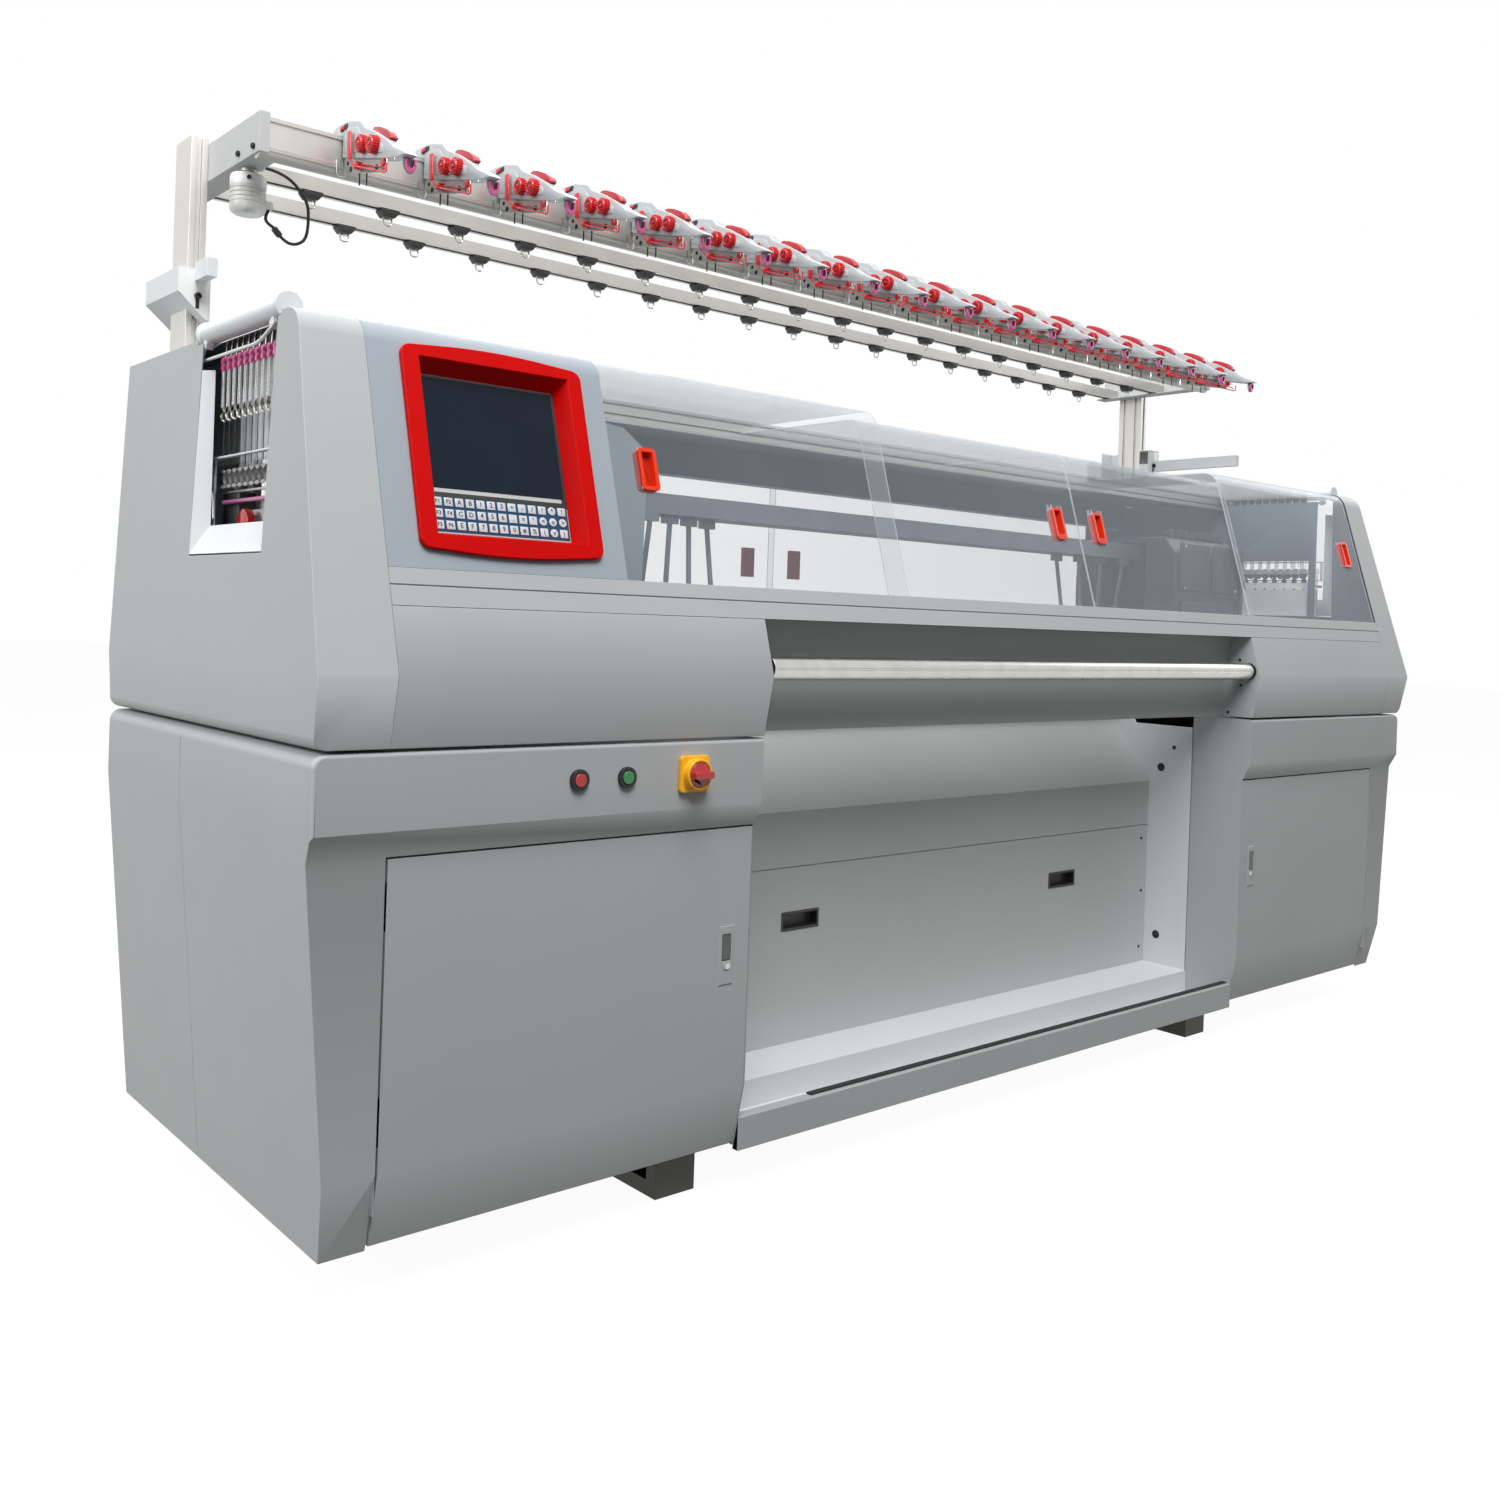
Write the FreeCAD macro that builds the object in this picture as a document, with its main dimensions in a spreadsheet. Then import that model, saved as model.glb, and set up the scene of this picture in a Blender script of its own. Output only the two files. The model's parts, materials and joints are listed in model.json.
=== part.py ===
import FreeCAD, Part
import Sketcher
import math
import os

# Computerised flat knitting machine, in millimetres.
# X runs along the machine, Z is up, and Y is measured from the front of the lower cabinets
# towards the back. Each sub-part is drawn in that frame, and its Placement moves it so that
# the middle of the machine's footprint lies on the origin.

doc = FreeCAD.newDocument("KnittingMachine")
sheet = doc.addObject("Spreadsheet::Sheet", "Sizes")
rows = []
nodes = []


class Size:
    # A number together with the expression it stands for, so that every
    # distance worked out from the sheet stays bound to the sheet.
    def __init__(self, value, text):
        self.value = value
        self.text = text

    def __add__(self, other):
        other = as_size(other)
        return Size(self.value + other.value, f"({self.text} + {other.text})")

    def __sub__(self, other):
        other = as_size(other)
        return Size(self.value - other.value, f"({self.text} - {other.text})")

    def __mul__(self, other):
        other = as_size(other)
        return Size(self.value * other.value, f"{self.text} * {other.text}")

    def __truediv__(self, other):
        other = as_size(other)
        return Size(self.value / other.value, f"{self.text} / {other.text}")

    def __neg__(self):
        return Size(-self.value, f"(0 - {self.text})")

    def __radd__(self, other):
        return as_size(other) + self

    def __rsub__(self, other):
        return as_size(other) - self

    def __rmul__(self, other):
        return as_size(other) * self


def as_size(thing):
    if isinstance(thing, Size):
        return thing
    text = repr(float(thing)) if thing >= 0 else f"(0 - {-float(thing)!r})"
    return Size(float(thing), text)


def size(name, value, note):
    rows.append(name)
    row = len(rows)
    sheet.set(f"A{row}", note)
    sheet.set(f"B{row}", str(value))
    sheet.setAlias(f"B{row}", name)
    return Size(value, f"Sizes.{name}")


# ---- overall form
length = size("machine_length", 2900, "over the outer sides of the lower cabinets")
bay_width = size("bay_width", 1450, "clear width between the cabinets")
depth = size("cabinet_depth", 810, "front band to back panel")
seam = size("seam_height", 719, "top of the lower cabinets")
seam_gap = size("seam_gap", 4, "gap between cabinets and upper housing")
roof = size("roof_height", 1285, "top of the upper housing")
wall = size("sheet_wall", 2, "folded sheet metal")
fit = size("running_gap", 0.4, "clearance round pieces that turn or slide")
edge_radius = size("edge_radius", 18, "folded top edge of the cabinets")

# ---- feet and base
skid_width = size("skid_width", 77, "width of a foot")
skid_height = size("skid_height", 75, "height of a foot")
skid_wall = size("skid_wall", 5, "tube wall of a foot")
skid_front = size("skid_front", 91, "front end of the feet")
skid_back = depth - size("skid_back_inset", 90, "rear end of the feet, in from the back")
left_skid = size("left_skid", 799, "centre of the left foot, left of the middle")
right_skid = size("right_skid", 685, "centre of the right foot, right of the middle")
window_low = size("skid_window_low", 25, "lower edge of the slot in a foot")
window_high = size("skid_window_high", 60, "upper edge of the slot in a foot")
window_length = size("skid_window_length", 50, "length of the slot in a foot")
rail_height = size("frame_rail_height", 52, "height of the base frame")
rail_width = size("frame_rail_width", 60, "width of a base frame rail")
front_rail = size("front_rail", 150, "front face of the front rail")
back_rail = depth - size("back_rail_inset", 120, "front face of the rear rail, in from the back")
frame_inset = size("frame_inset", 60, "base frame end, in from the cabinet side")
beam_front = size("beam_front", 30, "front face of the base beam")
beam_bottom = size("beam_bottom", 70, "lower edge of the base beam")
beam_top = size("beam_top", 122, "upper edge of the base beam")
beam_lip = size("beam_lip", 22, "top flange of the base beam")
beam_foot = size("beam_foot", 14, "bottom flange of the base beam")
strip_start = size("strip_start", 560, "left end of the rubber strip, left of the middle")
strip_width = size("strip_width", 12, "width of the rubber strip")
strip_height = size("strip_height", 3, "thickness of the rubber strip")
tray_lip = size("tray_lip", 145, "front edge of the bay's tray")
tray_step = size("tray_step", 82, "height of the gutter in front of the tray")

# ---- lower cabinets
band_bottom = size("band_bottom", 619, "lower edge of the front band")
band_proud = size("band_proud", 18, "the front band stands this far before the doors")
door_top = size("door_top", 584, "upper edge of the doors, foot of the band's chamfer")
kick = size("kick_height", 180, "fold line above the kick")
skirt = size("skirt_bottom", 77, "lower edge of the cabinets")
kick_back = size("kick_back", 22, "the kick slopes back this far")
side_taper = size("side_taper", 46, "the outer sides lean in this far at the bottom")
plate_gap = size("plate_gap", 2, "gap between the cabinet side and the bay plate")
door_gap = size("door_gap", 3, "gap round a door")
door_edge = size("door_edge", 112, "hinge edge of a door, in from the cabinet side")
door_depth = size("door_depth", 20, "depth of the folded door")
side_split = size("side_split", 466, "joint between the two sheets of the outer side")
split_width = size("split_width", 1.5, "width of a panel joint")
hinge_in = size("hinge_in", 14, "hinge pin, in from the door's edge")
hinge_back = size("hinge_back", 8, "hinge pin, behind the door's face")
hinge_pin = size("hinge_pin", 8, "diameter of a hinge pin")
hinge_barrel = size("hinge_barrel", 14, "diameter of a hinge barrel")
hinge_height = size("hinge_height", 44, "height of a hinge barrel")
hinge_low = size("hinge_low", 245, "height of the lower hinge")
hinge_high = size("hinge_high", 520, "height of the upper hinge")
hinge_arm = size("hinge_arm", 4, "thickness of a hinge arm")

# ---- locks
lock_in = size("lock_in", 48, "middle of a lock, in from the bay")
lock_width = size("lock_width", 27, "width of a lock plate")
lock_bottom = size("lock_bottom", 341, "lower end of a lock plate")
lock_top = size("lock_top", 431, "upper end of a lock plate")
lock_proud = size("lock_proud", 1.5, "the lock plate stands proud of the door")
lock_depth = size("lock_depth", 14, "depth of the lock case")
paddle_width = size("paddle_width", 16, "width of the lock's paddle")
paddle_low = size("paddle_low", 379, "lower end of the paddle")
paddle_high = size("paddle_high", 418, "upper end of the paddle")
paddle_thick = size("paddle_thick", 3, "thickness of the paddle")
key_diameter = size("key_diameter", 11, "diameter of the key barrel")
key_height = size("key_height", 369, "height of the key barrel")

# ---- buttons and main switch
control_height = size("control_height", 671, "height of buttons and switch")
red_button_x = size("red_button_x", 1066, "red button, left of the middle")
green_button_x = size("green_button_x", 985, "green button, left of the middle")
bezel_diameter = size("button_bezel_diameter", 30, "outer ring of a button")
barrel_diameter = size("button_barrel_diameter", 23, "barrel behind the panel")
cap_diameter = size("button_cap_diameter", 19, "the part that is pressed")
bezel_proud = size("button_bezel_proud", 6, "ring in front of the panel")
barrel_length = size("button_barrel_length", 30, "barrel behind the panel")
cap_proud = size("button_cap_proud", 1.5, "cap in front of its ring")
cap_length = size("button_cap_length", 26, "length of a cap")
switch_x = size("switch_x", 865, "main switch, left of the middle")
switch_side = size("switch_side", 54, "side of the square switch plate")
switch_plate = size("switch_plate", 8, "thickness of the switch plate")
collar_diameter = size("collar_diameter", 46, "round collar of the switch")
collar_depth = size("collar_depth", 12, "depth of the collar")
collar_wall = size("collar_wall", 4, "wall of the collar")
switch_shaft = size("switch_shaft", 10, "diameter of the switch shaft")
grip_width = size("grip_width", 11, "width of the knob's grip")
grip_depth = size("grip_depth", 12, "the grip stands out of the collar")

# ---- the bay
bay_back = size("bay_back", 257, "face of the covers at the back of the bay")
cover_split = size("cover_split", 452, "joint between upper and lower bay cover")
cover_fold = size("cover_fold", 555, "fold in the upper bay cover")
cover_top = size("bay_cover_top", 700, "upper edge of the upper bay cover")
cover_lean = size("bay_cover_lean", 104, "the upper part leans back this far")
pull_x = size("pull_x", 395, "finger pulls, from the middle")
pull_width = size("pull_width", 94, "width of a finger pull")
pull_height = size("pull_height", 35, "height of a finger pull")
pull_low = size("pull_low", 336, "lower edge of a finger pull")
pull_depth = size("pull_depth", 20, "depth of a finger pull")
plate_thick = size("bay_plate_thickness", 6, "white side plates of the bay")
plate_front = size("bay_plate_front", 147, "front edge of the side plates")
plate_shoulder = size("bay_plate_shoulder", 690, "top of the plates before the needle beds")
plug_diameter = size("plug_diameter", 19, "plugged holes in the side plates")
roller_y = size("roller_y", 425, "take-down roller")
roller_z = size("roller_z", 650, "take-down roller")
roller_diameter = size("roller_diameter", 60, "take-down roller")
journal = size("roller_journal", 24, "ends of the take-down roller")

# ---- upper housing
ridge_z = size("ridge_height", 816, "front ridge of the housing")
ridge_out = size("ridge_out", 18, "the ridge stands before the cabinets")
slope = size("front_slope", 0.3, "the front leans back by this much for each mm of height")
bulge = size("housing_bulge", 5, "the housing is wider than the cabinets at the ridge")
top_in = size("housing_top_in", 13, "the housing is narrower than the cabinets at the roof")
bend = size("roof_bend", 45, "radius between front and roof")
end_width = size("end_width", 101, "front width of an end housing beside the covers")
lower_top = size("lower_panel_top", 903, "top of the lower front panels")
opening_front = size("side_opening_front", 187, "front edge of the side opening")
opening_back = size("side_opening_back", 462, "rear edge of the side opening")
opening_low = size("side_opening_low", 966, "lower edge of the side opening")
opening_in = size("side_opening_in", 50, "the opening's cut in the roof")
rear_side = size("rear_side", 1210, "end of the rear covers, from the middle")
track_gap = size("track_gap", 0.5, "line between the front panels and the cover track")
track_top = size("track_top", 952, "upper edge of the front cover track")
track_groove = size("track_groove", 930, "line between the track's two strips")
track_depth = size("track_depth", 48, "depth of the front cover track")
rear_track = size("rear_track", 452, "front of the rear cover track")
rear_track_depth = size("rear_track_depth", 22, "depth of the rear cover track")
rear_track_low = size("rear_track_low", 1253, "underside of the rear cover track")
rear_drop = size("rear_drop", 1210, "lower edge of the roof's rear fold")
rear_sill = size("rear_sill", 935, "sill under the rear covers")
sill_depth = size("sill_depth", 36, "depth of the rear covers' guides")
sill_height = size("sill_height", 15, "height of the rear covers' guides")

# ---- covers
cover_sheet = size("cover_sheet", 3, "clear sheet of the covers")
inner_offset = size("inner_offset", 18, "inner covers lie this far inside the outer ones")
panel_right = size("display_right", 977, "right edge of the display panel, left of the middle")
slot_depth = size("slot_depth", 10, "covers reach this far into their tracks")
cover_one_end = size("cover_one_end", 382, "right edge of cover 1, left of the middle")
cover_two_start = size("cover_two_start", 411, "left edge of cover 2, left of the middle")
cover_joint = size("cover_joint", 185, "joint of covers 2 and 3, right of the middle")
cover_three_end = size("cover_three_end", 796, "right edge of cover 3")
cover_four_start = size("cover_four_start", 745, "left edge of cover 4")
handle_width = size("handle_width", 32, "width of a cover handle")
handle_height = size("handle_height", 66, "height of a cover handle")
handle_depth = size("handle_depth", 11, "depth of a handle's cup")
handle_proud = size("handle_proud", 3, "rim of a handle")
handle_wall = size("handle_wall", 5, "width of a handle's rim")
handle_low = size("handle_low", 286, "lower end of a handle, up the slope from the ridge")
rear_handle_low = size("rear_handle_low", 1002, "lower end of a rear handle")

# ---- display
bezel_left = size("bezel_left", 1303, "left edge of the red frame, left of the middle")
bezel_right = size("bezel_right", 1018, "right edge of the red frame, left of the middle")
bezel_low = size("bezel_low", 170, "lower corners, up the slope from the ridge")
bezel_high = size("bezel_high", 455, "upper corners, up the slope from the ridge")
bezel_arch = size("bezel_arch", 12, "rise of the arched edges")
bezel_corner = size("bezel_corner", 15, "corner radius of the red frame")
bezel_thick = size("bezel_thick", 8, "the red frame stands proud of the panel")
window_left = size("window_left", 1277, "left edge of the frame's window")
window_right = size("window_right", 1042, "right edge of the frame's window")
window_foot = size("window_foot", 189, "lower edge of the frame's window")
window_head = size("window_head", 440, "upper edge of the frame's window")
reveal_depth = size("reveal_depth", 26, "depth of the window's reveal")
reveal_wall = size("reveal_wall", 4, "wall of the reveal")
screen_foot = size("screen_foot", 252, "lower edge of the screen")
screen_border = size("screen_border", 8, "border round the screen")
panel_thick = size("control_panel_thickness", 6, "thickness of the control panel")

# ---- operating bar
bar_y = size("bar_y", 12, "middle of the operating bar")
bar_z = size("bar_z", 827, "middle of the operating bar")
bar_diameter = size("bar_diameter", 38, "operating bar")
bar_bore = size("bar_bore", 30, "bore of the operating bar")
bar_short = size("bar_short", 12, "each end of the bar stops short of the recess side")
bar_groove = size("bar_groove", 3, "groove along the bar")
guard_top = size("guard_top", 56, "upper edge of the curved guard, behind the front")
guard_bottom = size("guard_bottom", 73, "lower edge of the curved guard, behind the front")
guard_radius = size("guard_radius", 800, "curve of the guard")

# ---- needle beds, carriage and rails
bed_middle = size("bed_middle", 405, "middle plane of the needle beds")
bed_half = size("bed_beam_half", 75, "half depth of the bed beam")
beam_foot_z = size("bed_beam_bottom", 735, "underside of the bed beam")
bed_shoulder = size("bed_shoulder", 790, "foot of the bed beam's slopes")
bed_length = size("needle_bed_length", 1400, "length of the needle beds")
bed_gap = size("bed_gap", 3, "half the gap between the needle beds")
bed_reach = size("bed_reach", 84, "a bed's extent from the gap, seen from above")
bed_thick = size("bed_thickness", 22, "thickness of a needle bed")
trick_pitch = size("trick_pitch", 50, "pitch of the modelled needle grooves")
trick_width = size("trick_width", 5, "width of a modelled groove")
trick_depth = size("trick_depth", 5, "depth of a groove")
stand_x = size("stand_x", 1234, "inner face of the rail stands, from the middle")
stand_thick = size("stand_thickness", 12, "thickness of a rail stand")
stand_top = size("stand_top", 1132, "top of the rail stands")
carriage_start = size("carriage_start", 810, "left end of the carriage at rest")
carriage_length = size("carriage_length", 290, "length of the carriage")
carriage_front = size("carriage_front", 143, "front and rear of the carriage, from the beds' middle")
carriage_top = size("carriage_top", 1142, "top of the carriage")
feed_rail_low = size("feed_rail_low", 1085, "underside of the feeder rails")
feed_rail_high = size("feed_rail_high", 1122, "top of the feeder rails")
feed_rail_width = size("feed_rail_width", 10, "width of a feeder rail")
feed_rail_pitch = size("feed_rail_pitch", 21, "spacing of the feeder rails")

# ---- yarn rack
post_front = depth - size("post_inset", 79, "front face of the posts, in from the back")
post_depth = size("post_depth", 74, "depth of a post")
post_width = size("post_width", 28, "width of a post")
post_top = size("post_top", 1665, "top of the posts")
post_groove = size("post_groove", 8, "width of a post's groove")
groove_depth = size("post_groove_depth", 6, "depth of a post's groove")
plate_low = size("end_plate_low", 1594, "lower edge of the rack's end plates")
plate_high = size("end_plate_high", 1656, "upper edge of the rack's end plates")
plate_start = depth - size("end_plate_front", 300, "front of the rack's end plates, in from the back")
plate_end = depth + size("end_plate_reach", 48, "the rack's end plates reach this far behind the back")
rack_sheet = size("rack_sheet", 3, "sheet of the rack's end plates")
flange_low = size("end_flange", 38, "bottom flange of an end plate")
flange_front = size("front_flange", 13, "front flange of an end plate")
rail_front = depth - size("rack_rail_front", 296, "front face of the main rail, in from the back")
rail_depth = size("rack_rail_depth", 26, "depth of the main rail")
rail_low = size("rack_rail_low", 1598, "lower edge of the main rail's flat part")
rail_high = size("rack_rail_high", 1651, "upper edge of the main rail")
rail_round = size("rack_rail_round", 18, "round lower edge of the main rail")
rail_recess = size("rack_rail_recess", 3, "hollow in the main rail's face")
rail_lip = size("rack_rail_lip", 7, "lips above and below the hollow")
guide_pitch = size("guide_pitch", 155, "distance between the guide rails")
guide_front = depth - guide_pitch
guide_width = size("guide_width", 28, "depth of a guide rail")
guide_low = size("guide_low", 1597, "underside of the guide rails")
guide_height = size("guide_height", 24, "height of a guide rail")
unit_count = 18
unit_inset = size("unit_inset", 136, "side plate of the first tension unit, in from the end plate")
unit_pitch = size("unit_pitch", 141.8, "spacing of the tension units")
unit_plate = size("unit_plate", 2, "side plate of a tension unit")
case_out = size("unit_case_out", 4, "the case stands this far left of the side plate")
case_width = size("unit_case_width", 22, "width of a tension unit's case")
knob_length = size("knob_length", 11, "length of a tension knob")
knob_radius = size("knob_radius", 14, "radius of a tension knob")
knob_back = size("knob_back", 84, "rear knob, in front of the main rail")
knob_spacing = size("knob_spacing", 39, "distance between a unit's two knobs")
knob_drop = size("knob_drop", 10, "the front knob sits this much lower")
wire_thick = size("wire_thick", 3, "feeler wire")
wire_out = size("wire_out", 9, "gap between a unit's side plate and its feeler wire")
eyelet_out = size("eyelet_out", 202, "yarn eyelet, in front of the main rail")
eyelet_deep = size("eyelet_depth", 6, "depth of a yarn eyelet")
holder_inset = size("holder_inset", 147, "first yarn holder, in from the end plate")
holder_pitch = size("holder_pitch", 140, "spacing of the yarn holders")

# ---- brackets, arms and lamp
bracket_out = size("bracket_out", 24, "bracket side wall, out from the post")
bracket_back = depth + size("bracket_reach", 52, "the post brackets reach this far behind the back")
bracket_high = size("bracket_high", 1440, "upper edge of the post brackets")
bracket_low = size("bracket_low", 1400, "fold of the post brackets")
bracket_foot = size("bracket_foot", 1358, "lower edge of the post brackets")
arm_width = size("arm_width", 17, "width of a support arm")
arm_height = size("arm_height", 30, "height of a support arm")
left_arm_length = size("left_arm_length", 55, "length of the left support arm")
left_arm_low = size("left_arm_low", 1420, "underside of the left support arm")
right_arm_length = size("right_arm_length", 260, "length of the right support arm")
right_arm_low = size("right_arm_low", 1380, "underside of the right support arm")
lamp_inset = size("lamp_inset", 20, "middle of the warning lamp, in from the end plate")
lamp_y = depth - size("lamp_back", 198, "middle of the warning lamp, in from the back")
lamp_diameter = size("lamp_diameter", 56, "warning lamp")
lamp_neck = size("lamp_neck", 11, "height of the lamp's collar")
lamp_low = size("lamp_low", 1519, "underside of the lamp")
cable_diameter = size("cable_diameter", 5, "lamp cable")

# ---- side yarn guides
guide_tube = size("guide_tube", 30, "white tube across the side opening")
tube_cap = size("tube_cap", 38, "round cap of the white tube")
tube_in = size("tube_in", 25, "tube axis, in from the cabinet side")
tube_height = size("tube_height", 1293, "height of the white tube")
arm_count = 10
arm_pitch = size("side_arm_pitch", 24, "spacing of the clear arms")
arm_top = size("side_arm_top", 1215, "upper end of the clear arms")
arm_low = size("side_arm_low", 1090, "lower end of the clear arms")

half = length / 2
bay = bay_width / 2
stretch = Size(
    math.hypot(1, slope.value),
    f"sqrt(1 + {slope.text} * {slope.text})",
)
front_most = as_size(0) - (switch_plate + collar_depth + grip_depth)
centre_depth = (bracket_back + front_most) / 2


def front_y(height):
    # the sloping front plane of the upper housing
    return slope * (height - ridge_z) - ridge_out


def side_x(height):
    # the outer side of a lower cabinet leans in below the band
    return half - side_taper * (band_bottom - height) / (band_bottom - skirt)


def kick_y(height):
    # the kick below the fold line slopes back
    return band_proud + kick_back * (kick - height) / (kick - skirt)


def bind(thing, prop, value):
    thing.setExpression(prop, as_size(value).text)


def new_body(name):
    body = doc.addObject("PartDesign::Body", name)
    body.Label = name
    bind(body, "Placement.Base.y", -centre_depth)
    nodes.append(body)
    return body


def origin_part(body, role):
    for part in body.Origin.OriginFeatures:
        if part.Role == role:
            return part


def new_sketch(body, plane, level, origin=(0, 0)):
    sketch = body.newObject("Sketcher::SketchObject", body.Label + "_sketch")
    sketch.AttachmentSupport = [(origin_part(body, plane + "_Plane"), "")]
    sketch.MapMode = "FlatFace"
    bind(sketch, "AttachmentOffset.Base.x", origin[0])
    bind(sketch, "AttachmentOffset.Base.y", origin[1])
    bind(sketch, "AttachmentOffset.Base.z", level)
    return sketch


def constrain(sketch, kind, numbers, value=None):
    if value is None:
        sketch.addConstraint(Sketcher.Constraint(kind, *numbers))
        return
    index = sketch.addConstraint(Sketcher.Constraint(kind, *numbers, value.value))
    sketch.setExpression(f"Constraints[{index}]", value.text)


def hold(sketch, item, end, point):
    constrain(sketch, "DistanceX", (-1, 1, item, end), as_size(point[0]))
    constrain(sketch, "DistanceY", (-1, 1, item, end), as_size(point[1]))


def place(point):
    return FreeCAD.Vector(as_size(point[0]).value, as_size(point[1]).value, 0)


def draw_circle(sketch, outline):
    # an outline (x, y, diameter) written as a dictionary is a circle
    x, y, diameter = outline["circle"]
    diameter = as_size(diameter)
    circle = Part.Circle(place((x, y)), FreeCAD.Vector(0, 0, 1), diameter.value / 2)
    item = sketch.addGeometry(circle, False)
    hold(sketch, item, 3, (x, y))
    constrain(sketch, "Diameter", (item,), diameter)


def corner_arc(before, at, after, radius):
    # the arc that rounds the corner at a point, with its two tangent points
    back = (before - at).normalize()
    ahead = (after - at).normalize()
    half_angle = back.getAngle(ahead) / 2
    reach = radius / math.tan(half_angle)
    first = at + back * reach
    last = at + ahead * reach
    centre = at + (back + ahead).normalize() * (radius / math.sin(half_angle))
    middle = centre + (at - centre).normalize() * radius
    turns_left = (at - before).cross(after - at).z > 0
    return first, middle, last, turns_left


def draw_polygon(sketch, outline):
    # straight edges through the points; a third number rounds that corner
    count = len(outline)
    points = [place(point) for point in outline]
    starts = list(points)
    ends = list(points)
    arcs = {}
    for i, point in enumerate(outline):
        if len(point) == 3:
            radius = as_size(point[2])
            arc = corner_arc(points[i - 1], points[i], points[(i + 1) % count], radius.value)
            arcs[i] = (arc, radius)
            ends[i] = arc[0]
            starts[i] = arc[2]
    lines = []
    for i in range(count):
        line = Part.LineSegment(starts[i], ends[(i + 1) % count])
        lines.append(sketch.addGeometry(line, False))
    for i in range(count):
        incoming = lines[i - 1]
        outgoing = lines[i]
        if i not in arcs:
            constrain(sketch, "Coincident", (incoming, 2, outgoing, 1))
            hold(sketch, outgoing, 1, outline[i])
            continue
        (first, middle, last, turns_left), radius = arcs[i]
        if not turns_left:
            first, last = last, first
        arc = sketch.addGeometry(Part.Arc(first, middle, last), False)
        corner = sketch.addGeometry(Part.Point(points[i]), True)
        hold(sketch, corner, 1, outline[i])
        constrain(sketch, "PointOnObject", (corner, 1, incoming))
        constrain(sketch, "PointOnObject", (corner, 1, outgoing))
        constrain(sketch, "Tangent", (incoming, 2, arc, 1 if turns_left else 2))
        constrain(sketch, "Tangent", (outgoing, 1, arc, 2 if turns_left else 1))
        constrain(sketch, "Radius", (arc,), radius)


def draw(sketch, outlines):
    for outline in outlines:
        if isinstance(outline, dict):
            draw_circle(sketch, outline)
        else:
            draw_polygon(sketch, outline)


def ordered(first, second):
    first = as_size(first)
    second = as_size(second)
    return (first, second) if first.value <= second.value else (second, first)


def pad(body, plane, first, second, *outlines):
    # material between two levels along the plane's axis
    low, high = ordered(first, second)
    level = -high if plane == "XZ" else low
    sketch = new_sketch(body, plane, level)
    draw(sketch, outlines)
    feature = body.newObject("PartDesign::Pad", body.Label + "_pad")
    feature.Profile = sketch
    bind(feature, "Length", high - low)
    body.Tip = feature
    return feature


def cut(body, plane, first, second, *outlines):
    # material taken away between two levels along the plane's axis
    low, high = ordered(first, second)
    level = -low if plane == "XZ" else high
    sketch = new_sketch(body, plane, level)
    draw(sketch, outlines)
    feature = body.newObject("PartDesign::Pocket", body.Label + "_pocket")
    feature.Profile = sketch
    bind(feature, "Length", high - low)
    body.Tip = feature
    return feature


def repeat(body, features, axis, pitch, count):
    pattern = body.newObject("PartDesign::LinearPattern", body.Label + "_row")
    pattern.Originals = features
    pattern.Direction = (origin_part(body, axis + "_Axis"), [""])
    bind(pattern, "Length", pitch * (count - 1))
    pattern.Occurrences = count
    body.Tip = pattern
    return pattern


def turn(body, plane, level, origin, outline):
    # a turned form about the sketch's upright axis through the given origin
    sketch = new_sketch(body, plane, level, origin)
    draw(sketch, [outline])
    feature = body.newObject("PartDesign::Revolution", body.Label + "_turned")
    feature.Profile = sketch
    feature.ReferenceAxis = (sketch, ["V_Axis"])
    feature.Angle = 360
    body.Tip = feature
    return feature


def box(x_low, x_high, z_low, z_high):
    return [(x_low, z_low), (x_high, z_low), (x_high, z_high), (x_low, z_high)]


def circle(x, y, diameter):
    return {"circle": (x, y, diameter)}


def fluted(x, y, diameter, sides):
    # a many-sided grip
    points = []
    for i in range(sides):
        angle = 2 * math.pi * i / sides
        points.append((x + diameter * (math.cos(angle) / 2), y + diameter * (math.sin(angle) / 2)))
    return points


def tilt(body):
    # a sub-part drawn flat is laid on the sloping front, with its origin on the ridge
    body.Placement = FreeCAD.Placement(FreeCAD.Vector(), FreeCAD.Rotation(FreeCAD.Vector(-1, 0, 0), 15))
    bind(body, "Placement.Base.y", -centre_depth - ridge_out)
    bind(body, "Placement.Base.z", ridge_z)
    body.setExpression("Placement.Rotation.Angle", f"atan({slope.text})")


def side(sign, value):
    return as_size(value) if sign > 0 else -as_size(value)


def find(shape, kind, test):
    # names of the edges or faces whose middle passes the test
    items = getattr(shape, kind + "s")
    return [f"{kind}{i + 1}" for i, item in enumerate(items) if test(item.BoundBox)]


def near(first, second):
    return abs(first - as_size(second).value) < 0.05


def round_edges(body, radius, test):
    doc.recompute()
    tip = body.Tip
    feature = body.newObject("PartDesign::Fillet", body.Label + "_rounding")
    feature.Base = (tip, find(tip.Shape, "Edge", test))
    bind(feature, "Radius", radius)
    body.Tip = feature
    return feature


def new_hollow(body):
    # a second body, drawn in the first one's own frame, that is later taken out of it
    return doc.addObject("PartDesign::Body", body.Label + "_hollow")


def take_out(body, tool):
    feature = body.newObject("PartDesign::Boolean", body.Label + "_shell")
    feature.Type = "Cut"
    feature.setObjects([tool])
    body.Tip = feature
    return feature


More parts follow.
